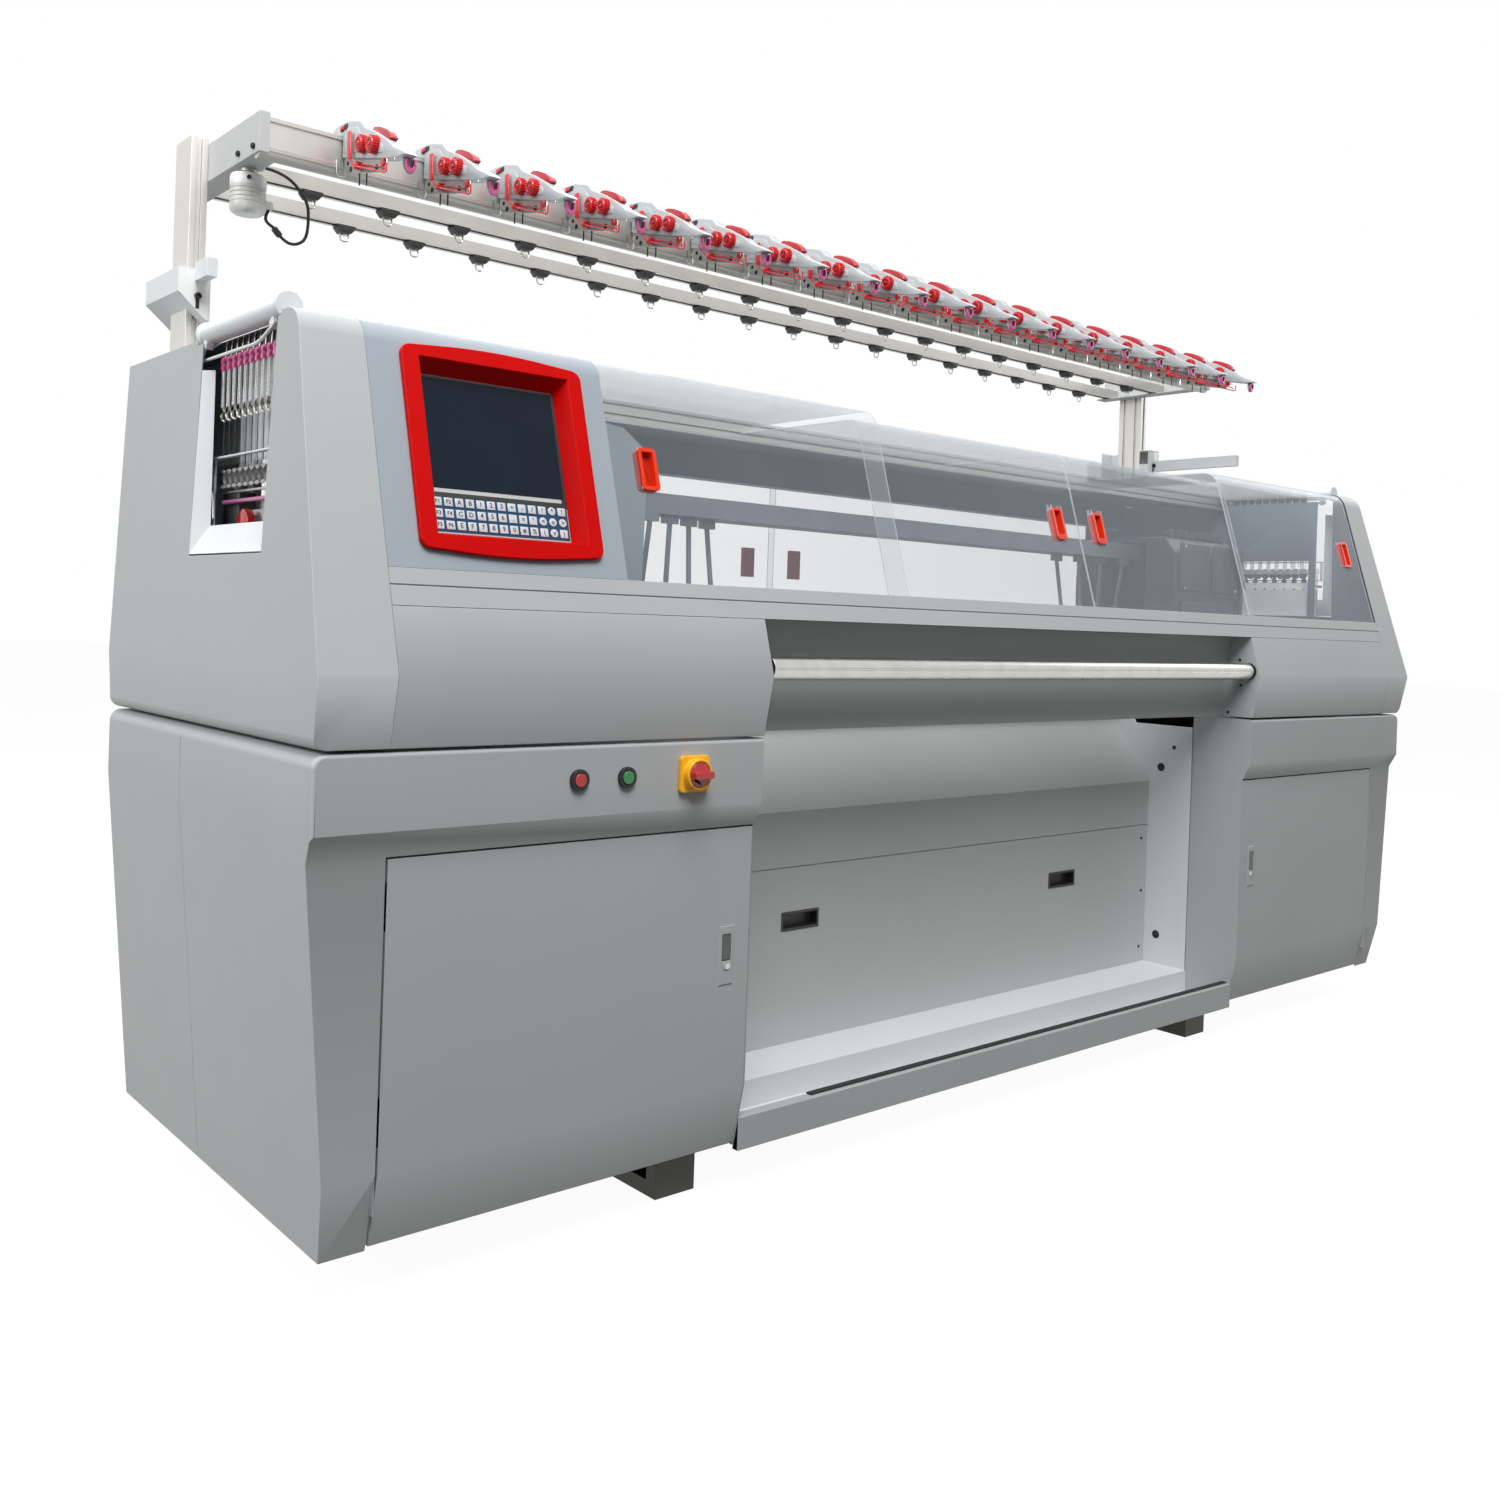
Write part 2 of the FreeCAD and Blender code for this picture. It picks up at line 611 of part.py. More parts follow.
# ---- feet and base frame
skids = new_body("skids")
for middle in (-left_skid, right_skid):
    left = middle - skid_width / 2
    right = middle + skid_width / 2
    pad(skids, "XY", 0, skid_height, box(left, right, skid_front, skid_back))
    inside = box(left + skid_wall, right - skid_wall, skid_wall, skid_height - skid_wall)
    cut(skids, "XZ", skid_front + skid_wall, skid_back - skid_wall, inside)
    window = box(skid_front + 25, skid_front + 25 + window_length, window_low, window_high)
    cut(skids, "YZ", left - 1, left + skid_wall, window)

floor = skid_height + rail_height
frame_end = half - frame_inset
base_frame = new_body("base_frame")
for front in (front_rail, back_rail):
    pad(base_frame, "XY", skid_height, floor, box(-frame_end, frame_end, front, front + rail_width))
for middle in (-left_skid, right_skid):
    cross = box(middle - rail_width / 2, middle + rail_width / 2, front_rail + 1, back_rail + 1)
    pad(base_frame, "XY", skid_height, floor, cross)

beam = new_body("base_beam")
web = beam_front + wall
beam_profile = [
    (beam_front, beam_bottom),
    (beam_front + beam_foot, beam_bottom),
    (beam_front + beam_foot, beam_bottom + wall),
    (web, beam_bottom + wall),
    (web, beam_top - wall),
    (beam_front + beam_lip, beam_top - wall),
    (beam_front + beam_lip, beam_top),
    (beam_front, beam_top),
]
pad(beam, "YZ", -bay, bay, beam_profile)

strip = new_body("beam_strip")
strip_back = beam_front + beam_lip
strip_outline = box(-strip_start, bay, strip_back - strip_width, strip_back)
pad(strip, "XY", beam_top, beam_top + strip_height, strip_outline)

tray = new_body("bay_tray")
tray_profile = [
    (web, tray_step - wall),
    (tray_lip, tray_step - wall),
    (tray_lip, floor),
    (back_rail + rail_width, floor),
    (back_rail + rail_width, floor + wall),
    (tray_lip - wall, floor + wall),
    (tray_lip - wall, tray_step),
    (web, tray_step),
]
pad(tray, "YZ", -bay, bay, tray_profile)

# ---- lower cabinets
end_in = half - end_width
door_side = half - door_edge
pin_x = door_side - hinge_in
pin_y = band_proud + hinge_back
inner_end = plate_front - plate_gap
panel_in = bay + plate_thick
door_foot = skirt + 5
door_head = door_top - door_gap


def hinge_span(middle):
    return middle - hinge_height / 2, middle + hinge_height / 2


def cabinet_block(body, sign, inset):
    # the outer form of a cabinet, or with an inset its open inside
    lowest = skirt - inset
    outline = [
        (side(sign, bay + inset), lowest),
        (side(sign, side_x(lowest) - inset), lowest),
        (side(sign, half - inset), band_bottom),
        (side(sign, half - inset), seam - inset, edge_radius - inset),
        (side(sign, bay + inset), seam - inset),
    ]
    pad(body, "XZ", inset, depth + inset, outline)
    front = [
        (-1, band_bottom - inset / 4),
        (inset, band_bottom - inset / 4),
        (band_proud + inset, door_top - inset / 4),
        (band_proud + inset, kick),
        (kick_y(lowest - 1) + inset, lowest - 1),
        (-1, lowest - 1),
    ]
    cut(body, "YZ", side(sign, bay - 1), side(sign, half + 1), front)


def build_cabinet(name, sign):
    body = new_body(name)
    cabinet_block(body, sign, as_size(0))
    round_edges(body, edge_radius / 3, lambda b: near(b.YMax, 0) and near(b.ZMin, seam) and b.XLength > 20)
    inside = new_hollow(body)
    cabinet_block(inside, sign, wall)
    take_out(body, inside)
    inner = box(inner_end, depth + 1, skirt - 1, seam + 1)
    cut(body, "YZ", side(sign, bay - 1), side(sign, panel_in), inner)
    doorway = box(side(sign, bay + wall), side(sign, door_side + door_gap), skirt - 1, door_top)
    cut(body, "XZ", -1, band_proud + kick_back + wall + 2, doorway)
    column = door_side + door_gap
    flange = box(side(sign, column), side(sign, column + wall), band_proud + wall / 2, band_proud + 44)
    pad(body, "XY", floor, door_top + wall, flange)
    lintel = box(side(sign, bay + wall / 2), side(sign, column + wall), door_top, door_top + wall)
    pad(body, "XZ", band_proud + wall / 2, band_proud + 32, lintel)
    floor_front = kick_y(floor) + door_depth + 10
    floor_side = side_x(floor) - wall / 2
    plate = [
        (side(sign, bay + wall / 2), floor_front),
        (side(sign, bay + wall / 2), inner_end),
        (side(sign, panel_in), inner_end),
        (side(sign, panel_in), depth),
        (side(sign, floor_side), depth),
        (side(sign, floor_side), floor_front),
    ]
    pad(body, "XY", floor, floor + wall, plate)
    spacer = box(side(sign, end_in + 12), side(sign, end_in + 42), band_proud + 42, depth - 60)
    pad(body, "XY", seam - 1, seam + seam_gap, spacer)
    joint = [
        (side(sign, half + 1), skirt - 1),
        (side(sign, side_x(skirt - 1) - wall / 2), skirt - 1),
        (side(sign, half - wall / 2), band_bottom),
        (side(sign, half - wall / 2), seam - edge_radius),
        (side(sign, half + 1), seam - edge_radius),
    ]
    cut(body, "XZ", side_split - split_width / 2, side_split + split_width / 2, joint)
    reach = band_proud + 34
    arm = [
        (side(sign, column + wall / 2), reach),
        (side(sign, pin_x - 3), reach),
        (side(sign, pin_x - 3), pin_y),
        (side(sign, pin_x + 3), pin_y),
        (side(sign, pin_x + 3), reach - 6),
        (side(sign, column + wall / 2), reach - 6),
    ]
    for middle in (hinge_low, hinge_high):
        low, high = hinge_span(middle)
        pad(body, "XY", low - fit - hinge_arm, low - fit, arm)
        pad(body, "XY", high + fit, high + fit + hinge_arm, arm)
        pin = circle(side(sign, pin_x), pin_y, hinge_pin)
        pad(body, "XY", low - fit - hinge_arm, high + fit + hinge_arm, pin)
    return body


def build_door(name, sign):
    body = new_body(name)
    free_edge = bay + door_gap
    shape = [
        (band_proud, door_head),
        (band_proud, kick),
        (kick_y(door_foot), door_foot),
        (kick_y(door_foot) + door_depth, door_foot),
        (band_proud + door_depth, kick),
        (band_proud + door_depth, door_head),
    ]
    pad(body, "YZ", side(sign, free_edge), side(sign, door_side), shape)
    inside = [
        (band_proud + wall, door_head - wall),
        (band_proud + wall, kick),
        (kick_y(door_foot + wall) + wall, door_foot + wall),
        (band_proud + 90, door_foot + wall),
        (band_proud + 90, door_head - wall),
    ]
    cut(body, "YZ", side(sign, free_edge + wall), side(sign, door_side - wall), inside)
    for middle in (hinge_low, hinge_high):
        low, high = hinge_span(middle)
        notch = box(side(sign, door_side - wall - 1), side(sign, door_side + 1), low - 10, high + 10)
        cut(body, "XZ", band_proud + wall, band_proud + door_depth + 1, notch)
        barrel = circle(side(sign, pin_x), pin_y, hinge_barrel)
        pad(body, "XY", low, high, barrel)
        bore = circle(side(sign, pin_x), pin_y, hinge_pin + fit * 2)
        cut(body, "XY", low - 1, high + 1, bore)
    lock_x = side(sign, bay + lock_in)
    case_front = band_proud - lock_proud
    case = box(lock_x - lock_width / 2, lock_x + lock_width / 2, lock_bottom, lock_top)
    pad(body, "XZ", case_front, band_proud + lock_depth, case)
    pocket_width = paddle_width / 2 + fit
    pocket = box(lock_x - pocket_width, lock_x + pocket_width, paddle_low - 1, paddle_high + fit)
    cut(body, "XZ", case_front - 1, case_front + 6, pocket)
    pad(body, "XZ", case_front - 1, band_proud, circle(lock_x, key_height, key_diameter))
    return body


def build_paddle(name, sign):
    body = new_body(name)
    lock_x = side(sign, bay + lock_in)
    case_front = band_proud - lock_proud
    shape = box(lock_x - paddle_width / 2, lock_x + paddle_width / 2, paddle_low, paddle_high)
    pad(body, "XZ", case_front, case_front + paddle_thick, shape)
    return body


left_cabinet = build_cabinet("left_cabinet", -1)
right_cabinet = build_cabinet("right_cabinet", 1)
barrel_hole = barrel_diameter + fit * 2
for button_x in (red_button_x, green_button_x):
    cut(left_cabinet, "XZ", -1, wall + 1, circle(-button_x, control_height, barrel_hole))
build_door("left_door", -1)
build_door("right_door", 1)
build_paddle("left_lock_paddle", -1)
build_paddle("right_lock_paddle", 1)

# ---- buttons and main switch
button_bezels = new_body("button_bezels")
for button_x in (red_button_x, green_button_x):
    pad(button_bezels, "XZ", -bezel_proud, 0, circle(-button_x, control_height, bezel_diameter))
    pad(button_bezels, "XZ", -1, barrel_length, circle(-button_x, control_height, barrel_diameter))
    bore = circle(-button_x, control_height, cap_diameter + fit * 2)
    cut(button_bezels, "XZ", -bezel_proud - 1, barrel_length - 3, bore)

for name, button_x in (("red_button", red_button_x), ("green_button", green_button_x)):
    body = new_body(name)
    cap_front = -bezel_proud - cap_proud
    shape = circle(-button_x, control_height, cap_diameter)
    pad(body, "XZ", cap_front, cap_front + cap_length, shape)

switch_base = new_body("switch_base")
switch_half = switch_side / 2
corner = 6
plate = [
    (-switch_x - switch_half, control_height - switch_half, corner),
    (-switch_x + switch_half, control_height - switch_half, corner),
    (-switch_x + switch_half, control_height + switch_half, corner),
    (-switch_x - switch_half, control_height + switch_half, corner),
]
pad(switch_base, "XZ", -switch_plate, 0, plate)
collar_front = -switch_plate - collar_depth
collar_bore = collar_diameter - collar_wall * 2
pad(switch_base, "XZ", collar_front, -1, circle(-switch_x, control_height, collar_diameter))
cut(switch_base, "XZ", collar_front - 1, -switch_plate, circle(-switch_x, control_height, collar_bore))
shaft_hole = circle(-switch_x, control_height, switch_shaft + fit * 2)
cut(switch_base, "XZ", -switch_plate - 1, -1, shaft_hole)

switch_knob = new_body("switch_knob")
knob_disc = collar_bore - fit * 2
pad(switch_knob, "XZ", collar_front, -switch_plate, circle(-switch_x, control_height, knob_disc))
pad(switch_knob, "XZ", -switch_plate - 1, -1.5, circle(-switch_x, control_height, switch_shaft))
grip_half = knob_disc / 2 - 1
grip = [
    (-switch_x - grip_half, control_height - grip_width / 2, 3),
    (-switch_x + grip_half, control_height - grip_width / 2, 3),
    (-switch_x + grip_half, control_height + grip_width / 2, 3),
    (-switch_x - grip_half, control_height + grip_width / 2, 3),
]
pad(switch_knob, "XZ", collar_front - grip_depth, collar_front + 1, grip)

# ---- covers and plates of the bay
cover_half = bay - 0.5
joint_half = split_width / 2
upper_cover = new_body("upper_bay_cover")
upper_profile = [
    (bay_back, cover_split + joint_half),
    (bay_back, cover_fold),
    (bay_back + cover_lean, cover_top),
    (bay_back + cover_lean + wall, cover_top),
    (bay_back + wall, cover_fold - wall / 2),
    (bay_back + wall, cover_split + joint_half),
]
pad(upper_cover, "YZ", -cover_half, cover_half, upper_profile)

lower_cover = new_body("lower_bay_cover")
sheet_outline = box(-cover_half, cover_half, floor + wall, cover_split - joint_half)
pad(lower_cover, "XZ", bay_back, bay_back + wall, sheet_outline)
finger_pulls = new_body("finger_pulls")
rim = 3
rim_front = bay_back - 1.5
for middle in (-pull_x, pull_x):
    left = middle - pull_width / 2
    right = middle + pull_width / 2
    top = pull_low + pull_height
    hole = box(left + rim - fit, right - rim + fit, pull_low + rim - fit, top - rim + fit)
    cut(lower_cover, "XZ", bay_back - 1, bay_back + wall + 1, hole)
    pad(finger_pulls, "XZ", rim_front, bay_back, box(left, right, pull_low, top))
    cup = box(left + rim, right - rim, pull_low + rim, top - rim)
    pad(finger_pulls, "XZ", rim_front + 1, bay_back + pull_depth, cup)
    inside = box(left + rim + 2, right - rim - 2, pull_low + rim + 2, top - rim - 2)
    cut(finger_pulls, "XZ", rim_front - 1, bay_back + pull_depth - 2, inside)

side_plates = new_body("bay_side_plates")
bed_front = bed_middle - bed_half
bed_rear = bed_middle + bed_half
plate_profile = [
    (plate_front, floor),
    (depth - 30, floor),
    (depth - 30, plate_shoulder),
    (bed_rear + 30, plate_shoulder),
    (bed_rear, beam_foot_z),
    (bed_front, beam_foot_z),
    (bed_front - 30, plate_shoulder),
    (plate_front, plate_shoulder),
]
for sign in (-1, 1):
    pad(side_plates, "YZ", side(sign, bay), side(sign, panel_in), plate_profile)
    bore = circle(roller_y, roller_z, journal + fit * 2)
    cut(side_plates, "YZ", side(sign, bay - 1), side(sign, panel_in + 1), bore)
    plugs = [
        circle(plate_front + 79, cover_fold + 36, plug_diameter),
        circle(plate_front + 78, floor + 70, plug_diameter),
        circle(plate_front + 46, cover_fold + 85, plug_diameter / 2),
    ]
    pad(side_plates, "YZ", side(sign, bay - 1), side(sign, bay + 1), *plugs)

roller = new_body("takedown_roller")
pad(roller, "YZ", -(bay - 25), bay - 25, circle(roller_y, roller_z, roller_diameter))
pad(roller, "YZ", -panel_in, panel_in, circle(roller_y, roller_z, journal))

# ---- upper housing
skin = wall * stretch
roof_under = roof - wall


def housing_side(height):
    # the outer side is widest at the ridge and leans in towards the roof
    return half + bulge - (bulge + top_in) * (height - ridge_z) / (roof - ridge_z)


def housing_block(body, sign, inset, x_in):
    low = seam + seam_gap + inset
    head = roof - inset
    outline = [
        (side(sign, x_in), low),
        (side(sign, half - inset), low, edge_radius - inset),
        (side(sign, half + bulge - inset), ridge_z),
        (side(sign, housing_side(head) - inset), head),
        (side(sign, x_in), head),
    ]
    pad(body, "XZ", inset - ridge_out, depth + inset, outline)
    front = [
        (-ridge_out - 1, low - 1),
        (inset * stretch - ridge_out * (low - 1 - seam) / (ridge_z - seam), low - 1),
        (inset * stretch - ridge_out, ridge_z),
        (front_y(head) + inset * stretch, head, bend - inset),
        (front_y(head) + bend * 2, head),
        (front_y(head) + bend * 2, head + 1),
        (-ridge_out - 1, head + 1),
    ]
    cut(body, "YZ", side(sign, x_in - 1), side(sign, half + bulge + 1), front)


def add_pan(body, sign, inner, outer):
    # the sloping front panel beside the recess, with its top and its end plate
    low = seam + seam_gap
    recess_back = guard_bottom + wall
    shape = [
        (0, low),
        (-ridge_out, ridge_z),
        (front_y(lower_top), lower_top),
        (recess_back, lower_top),
        (recess_back, low),
    ]
    pad(body, "YZ", side(sign, inner), side(sign, outer), shape)


def pan_hollow(body, sign, inner, outer):
    low = seam + seam_gap
    inside = [
        (skin, low - 1),
        (skin - ridge_out, ridge_z),
        (front_y(lower_top - wall) + skin, lower_top - wall),
        (guard_bottom + wall + 1, lower_top - wall),
        (guard_bottom + wall + 1, low - 1),
    ]
    cut(body, "YZ", side(sign, inner + wall), side(sign, outer), inside)


def build_housing(name, sign, x_in):
    body = new_body(name)
    housing_block(body, sign, as_size(0), x_in)
    inside = new_hollow(body)
    housing_block(inside, sign, wall, x_in - 1)
    take_out(body, inside)
    # shelf, side opening with its cut in the roof, and the seats of the white tube
    shelf = box(opening_front - wall, opening_back + wall, opening_low - wall, opening_low)
    pad(body, "YZ", side(sign, x_in), side(sign, housing_side(opening_low) - 1), shelf)
    gate = box(opening_front, opening_back, opening_low, roof + 1)
    cut(body, "YZ", side(sign, half + top_in - 1 - opening_in), side(sign, half + bulge + 1), gate)
    seat = circle(side(sign, half - tube_in), tube_height, tube_cap + fit * 2)
    cut(body, "XZ", opening_front - 12, opening_back + 22, seat)
    return body


left_housing = build_housing("left_housing", -1, end_in)
right_housing = build_housing("right_housing", 1, end_in + 5)
add_pan(right_housing, 1, bay, end_in + 6)
pan_hollow(right_housing, 1, bay, end_in + 7)
left_panel = new_body("left_front_panel")
add_pan(left_panel, -1, bay, end_in)
pan_hollow(left_panel, -1, bay, end_in - wall)

track_bottom = lower_top + track_gap
display = new_body("display_panel")


def roof_sheet(low, inset, thick, back):
    # a sheet up the sloping front and over the roof, at a distance inside the outer form
    top = roof - inset
    under = top - thick
    deep = inset + thick
    return [
        (front_y(low) + inset * stretch, low),
        (front_y(top) + inset * stretch, top, bend - inset),
        (back, top),
        (back, under),
        (front_y(under) + deep * stretch, under, bend - deep),
        (front_y(low) + deep * stretch, low),
    ]


pad(display, "YZ", -end_in, -panel_right, roof_sheet(track_top, as_size(0), wall, rear_track - 2))
window_cut = box(
    -window_left - reveal_wall - 1.5,
    -window_right + reveal_wall + 1.5,
    ridge_z + (window_foot - reveal_wall - 1.5) / stretch,
    ridge_z + (window_head + reveal_wall + 1.5) / stretch,
)
cut(display, "XZ", 0, 200, window_cut)

display_bezel = new_body("display_bezel")
middle = (bezel_left + bezel_right) / -2
frame = [
    (-bezel_left, bezel_low, bezel_corner),
    (middle, bezel_low - bezel_arch, 1000),
    (-bezel_right, bezel_low, bezel_corner),
    (-bezel_right, bezel_high, bezel_corner),
    (middle, bezel_high + bezel_arch, 1000),
    (-bezel_left, bezel_high, bezel_corner),
]
pad(display_bezel, "XZ", -bezel_thick, 0, frame)
sleeve = box(
    -window_left - reveal_wall,
    -window_right + reveal_wall,
    window_foot - reveal_wall,
    window_head + reveal_wall,
)
pad(display_bezel, "XZ", -1, reveal_depth, sleeve)
window = box(-window_left, -window_right, window_foot, window_head)
cut(display_bezel, "XZ", -bezel_thick - 1, reveal_depth + 1, window)
tilt(display_bezel)

control_panel = new_body("control_panel")
panel = box(-window_left + fit, -window_right - fit, window_foot + fit, window_head - fit)
pad(control_panel, "XZ", reveal_depth - panel_thick, reveal_depth, panel)
border = box(-window_left + 6, -window_right - 12, screen_foot - 3, window_head - 14)
pad(control_panel, "XZ", reveal_depth - panel_thick - 3, reveal_depth - 1, border)
screen = box(
    -window_left + 6 + screen_border,
    -window_right - 12 - screen_border,
    screen_foot - 3 + screen_border,
    window_head - 14 - screen_border,
)
cut(control_panel, "XZ", reveal_depth - panel_thick - 4, reveal_depth - panel_thick, screen)
tilt(control_panel)

# ---- cover tracks
track = new_body("cover_track")
track_profile = [
    (front_y(track_bottom), track_bottom),
    (front_y(track_top), track_top),
    (front_y(track_top) + track_depth, track_top),
    (front_y(track_bottom) + track_depth, track_bottom),
]
right_end = end_in + 5
pad(track, "YZ", -end_in, right_end, track_profile)
line = [
    (front_y(track_groove - 1) - 1, track_groove - 1),
    (front_y(track_groove - 1) + 2, track_groove - 1),
    (front_y(track_groove + 1) + 2, track_groove + 1),
    (front_y(track_groove + 1) - 1, track_groove + 1),
]
cut(track, "YZ", -end_in - 1, right_end + 1, line)
slot_foot = track_top - slot_depth - fit
cover_deep = cover_sheet * stretch
outer_in = wall
inner_in = wall + inner_offset
for inset in (outer_in, inner_in):
    near_wall = inset * stretch - fit
    far_wall = inset * stretch + cover_deep + fit
    slot = [
        (front_y(slot_foot) + near_wall, slot_foot),
        (front_y(slot_foot) + far_wall, slot_foot),
        (front_y(track_top + 1) + far_wall, track_top + 1),
        (front_y(track_top + 1) + near_wall, track_top + 1),
    ]
    cut(track, "YZ", -panel_right, right_end + 1, slot)

back_track = new_body("rear_track")
back_outline = box(rear_track, rear_track + rear_track_depth, rear_track_low, roof + 4)
pad(back_track, "YZ", -end_in, right_end, back_outline)
for inset in (outer_in, inner_in):
    head = roof - inset
    slot = box(rear_track - 1, rear_track + slot_depth + fit, head - cover_sheet - fit, head + fit)
    cut(back_track, "YZ", -panel_right, right_end + 1, slot)

rear_roof = new_body("rear_roof")
roof_start = rear_track + rear_track_depth
rail_front_y = depth - sill_depth
roof_profile = [
    (roof_start, roof_under),
    (rail_front_y, roof_under),
    (rail_front_y, rear_drop),
    (depth, rear_drop),
    (depth, roof),
    (roof_start, roof),
]
pad(rear_roof, "YZ", -end_in, right_end, roof_profile)
tube_inside = box(rail_front_y + wall, depth - wall, rear_drop + 16, roof - wall)
cut(rear_roof, "YZ", -end_in - 1, right_end + 1, tube_inside)

back = new_body("back_panels")
sheet_top = seam - wall - 1
lower_back = [
    (-side_x(floor) + 20, floor - 20),
    (side_x(floor) - 20, floor - 20),
    (half - 20, band_bottom),
    (half - 20, sheet_top),
    (-half + 20, sheet_top),
    (-half + 20, band_bottom),
]
pad(back, "XZ", depth, depth + wall, lower_back)
upper_back = box(-half + 12, half - 12, seam + seam_gap + 4, rear_drop)
pad(back, "XZ", depth, depth + wall, upper_back)
rear_window = box(-rear_side, rear_side, rear_sill, rear_drop + 1)
cut(back, "XZ", depth - 1, depth + wall + 1, rear_window)
sill = box(rail_front_y, depth + 1, rear_sill - sill_height, rear_sill)
pad(back, "YZ", -end_in, right_end, sill)
outer_rear = depth - 12
inner_rear = depth - 26
for level in (outer_rear, inner_rear):
    foot_slot = box(level - fit, level + cover_sheet + fit, rear_sill - slot_depth - fit, rear_sill + 1)
    cut(back, "YZ", -rear_side - 40, rear_side + 40, foot_slot)
    head_slot = box(level - fit, level + cover_sheet + fit, rear_drop - 1, rear_drop + slot_depth + fit)
    cut(rear_roof, "YZ", -rear_side - 40, rear_side + 40, head_slot)

# ---- recess with operating bar
guard = new_body("recess_guard")
guard_low = seam + seam_gap
guard_profile = [
    (guard_top, lower_top),
    (guard_bottom - 1, ridge_z - 26, guard_radius),
    (guard_bottom, guard_low),
    (guard_bottom + wall, guard_low),
    (guard_bottom - 1 + wall, ridge_z - 26, guard_radius),
    (guard_top + wall, lower_top),
]
pad(guard, "YZ", -bay, bay, guard_profile)

bar = new_body("operating_bar")
bar_half = bay - bar_short
pad(bar, "YZ", -bar_half, bar_half, circle(bar_y, bar_z, bar_diameter))
cut(bar, "YZ", -bar_half - 1, bar_half + 1, circle(bar_y, bar_z, bar_bore))
bar_line = box(-bar_half + 6, bar_half - 6, bar_z - bar_groove / 2, bar_z + bar_groove / 2)
cut(bar, "XZ", bar_y - bar_diameter / 2 - 1, bar_y - bar_diameter / 2 + 1.5, bar_line)

sockets = new_body("bar_sockets")
for sign in (-1, 1):
    pad(sockets, "YZ", side(sign, bay - 6), side(sign, bay), circle(bar_y, bar_z, bar_diameter))
    pin = circle(bar_y, bar_z, bar_bore - fit * 2)
    pad(sockets, "YZ", side(sign, bay - bar_short - 20), side(sign, bay - 1), pin)

# ---- sliding covers
handle_y_low = ridge_z + handle_low / stretch
handle_y_high = handle_y_low + handle_height / stretch


def slope_block(inset_front, inset_back, low, high):
    return [
        (front_y(low) + inset_front, low),
        (front_y(high) + inset_front, high),
        (front_y(high) + inset_back, high),
        (front_y(low) + inset_back, low),
    ]


def build_cover(name, left, right, inset, handles):
    body = new_body(name)
    foot = track_top - slot_depth
    back_edge = rear_track + slot_depth
    pad(body, "YZ", left, right, roof_sheet(foot, inset, cover_sheet, back_edge))
    for middle in handles:
        low = handle_y_low
        high = handle_y_high
        cup = slope_block(inset - handle_proud, inset + handle_depth, low, high)
        pad(body, "YZ", middle - handle_width / 2, middle + handle_width / 2, cup)
        inside = slope_block(
            inset - handle_proud - 1, inset + handle_depth - 2, low + handle_wall, high - handle_wall)
        mid_in = handle_width / 2 - handle_wall
        cut(body, "YZ", middle - mid_in, middle + mid_in, inside)
    return body


build_cover("front_cover_1", -panel_right, -cover_one_end, outer_in, [-panel_right + 67])
build_cover("front_cover_2", -cover_two_start, cover_joint - 1, inner_in, [cover_joint - 64])
build_cover("front_cover_3", cover_joint + 1, cover_three_end, inner_in, [cover_joint + 71.5])
build_cover("front_cover_4", cover_four_start, end_in + 1, outer_in, [end_in - 62])

rear_joint = -24


def build_rear_cover(name, left, right, level, middles):
    body = new_body(name)
    sheet_box = box(left, right, rear_sill - slot_depth, rear_drop + slot_depth)
    pad(body, "XZ", level, level + cover_sheet, sheet_box)
    low = rear_handle_low
    high = rear_handle_low + handle_height
    for middle in middles:
        near_side = middle - handle_width / 2
        far_side = middle + handle_width / 2
        pad(body, "XZ", level - 5, level + cover_sheet + 2, box(near_side, far_side, low, high))
        hole = box(near_side + handle_wall, far_side - handle_wall, low + handle_wall, high - handle_wall)
        cut(body, "XZ", level - 3, level + cover_sheet + 3, hole)
    return body


build_rear_cover("rear_cover_left", -rear_side, rear_joint + 15, outer_rear, [-rear_side + 52, rear_joint - 65])
build_rear_cover("rear_cover_right", rear_joint - 15, rear_side, inner_rear, [rear_joint + 65, rear_side - 52])

# ---- needle beds with their beam and rail stands
beds = new_body("needle_beds")
bed_rise = bed_half - bed_gap
apex = bed_shoulder + bed_rise
bed_high = bed_thick * 1.4142
beam_shape = [
    (bed_middle - bed_half, beam_foot_z),
    (bed_middle + bed_half, beam_foot_z),
    (bed_middle + bed_half, bed_shoulder),
    (bed_middle + bed_gap, apex),
    (bed_middle - bed_gap, apex),
    (bed_middle - bed_half, bed_shoulder),
]
stand_out = stand_x + stand_thick
pad(beds, "YZ", -stand_out, stand_out, beam_shape)
hollow_beam = box(bed_middle - 50, bed_middle + 50, beam_foot_z + 10, bed_shoulder - 10)
cut(beds, "YZ", -stand_x, stand_x, hollow_beam)
bed_start = -bed_length / 2
trick_step = trick_pitch
tricks = 28
for way in (-1, 1):
    near_y = bed_middle + bed_gap * way
    far_y = bed_middle + (bed_gap + bed_reach) * way
    bed_shape = [
        (near_y, apex),
        (near_y, apex + bed_high),
        (far_y, apex + bed_high - bed_reach),
        (far_y, apex - bed_reach),
    ]
    pad(beds, "YZ", -stand_x, stand_x, bed_shape)
    deep = trick_depth * 1.4142
    groove = [
        (near_y + way * 8, apex + bed_high - 8 - deep),
        (near_y + way * 8, apex + bed_high - 7),
        (far_y + way * 1, apex + bed_high - bed_reach),
        (far_y + way * 1, apex + bed_high - bed_reach - 1 - deep),
    ]
    first = cut(beds, "YZ", bed_start + 22, bed_start + 22 + trick_width, groove)
    repeat(beds, [first], "X", trick_step, tricks)
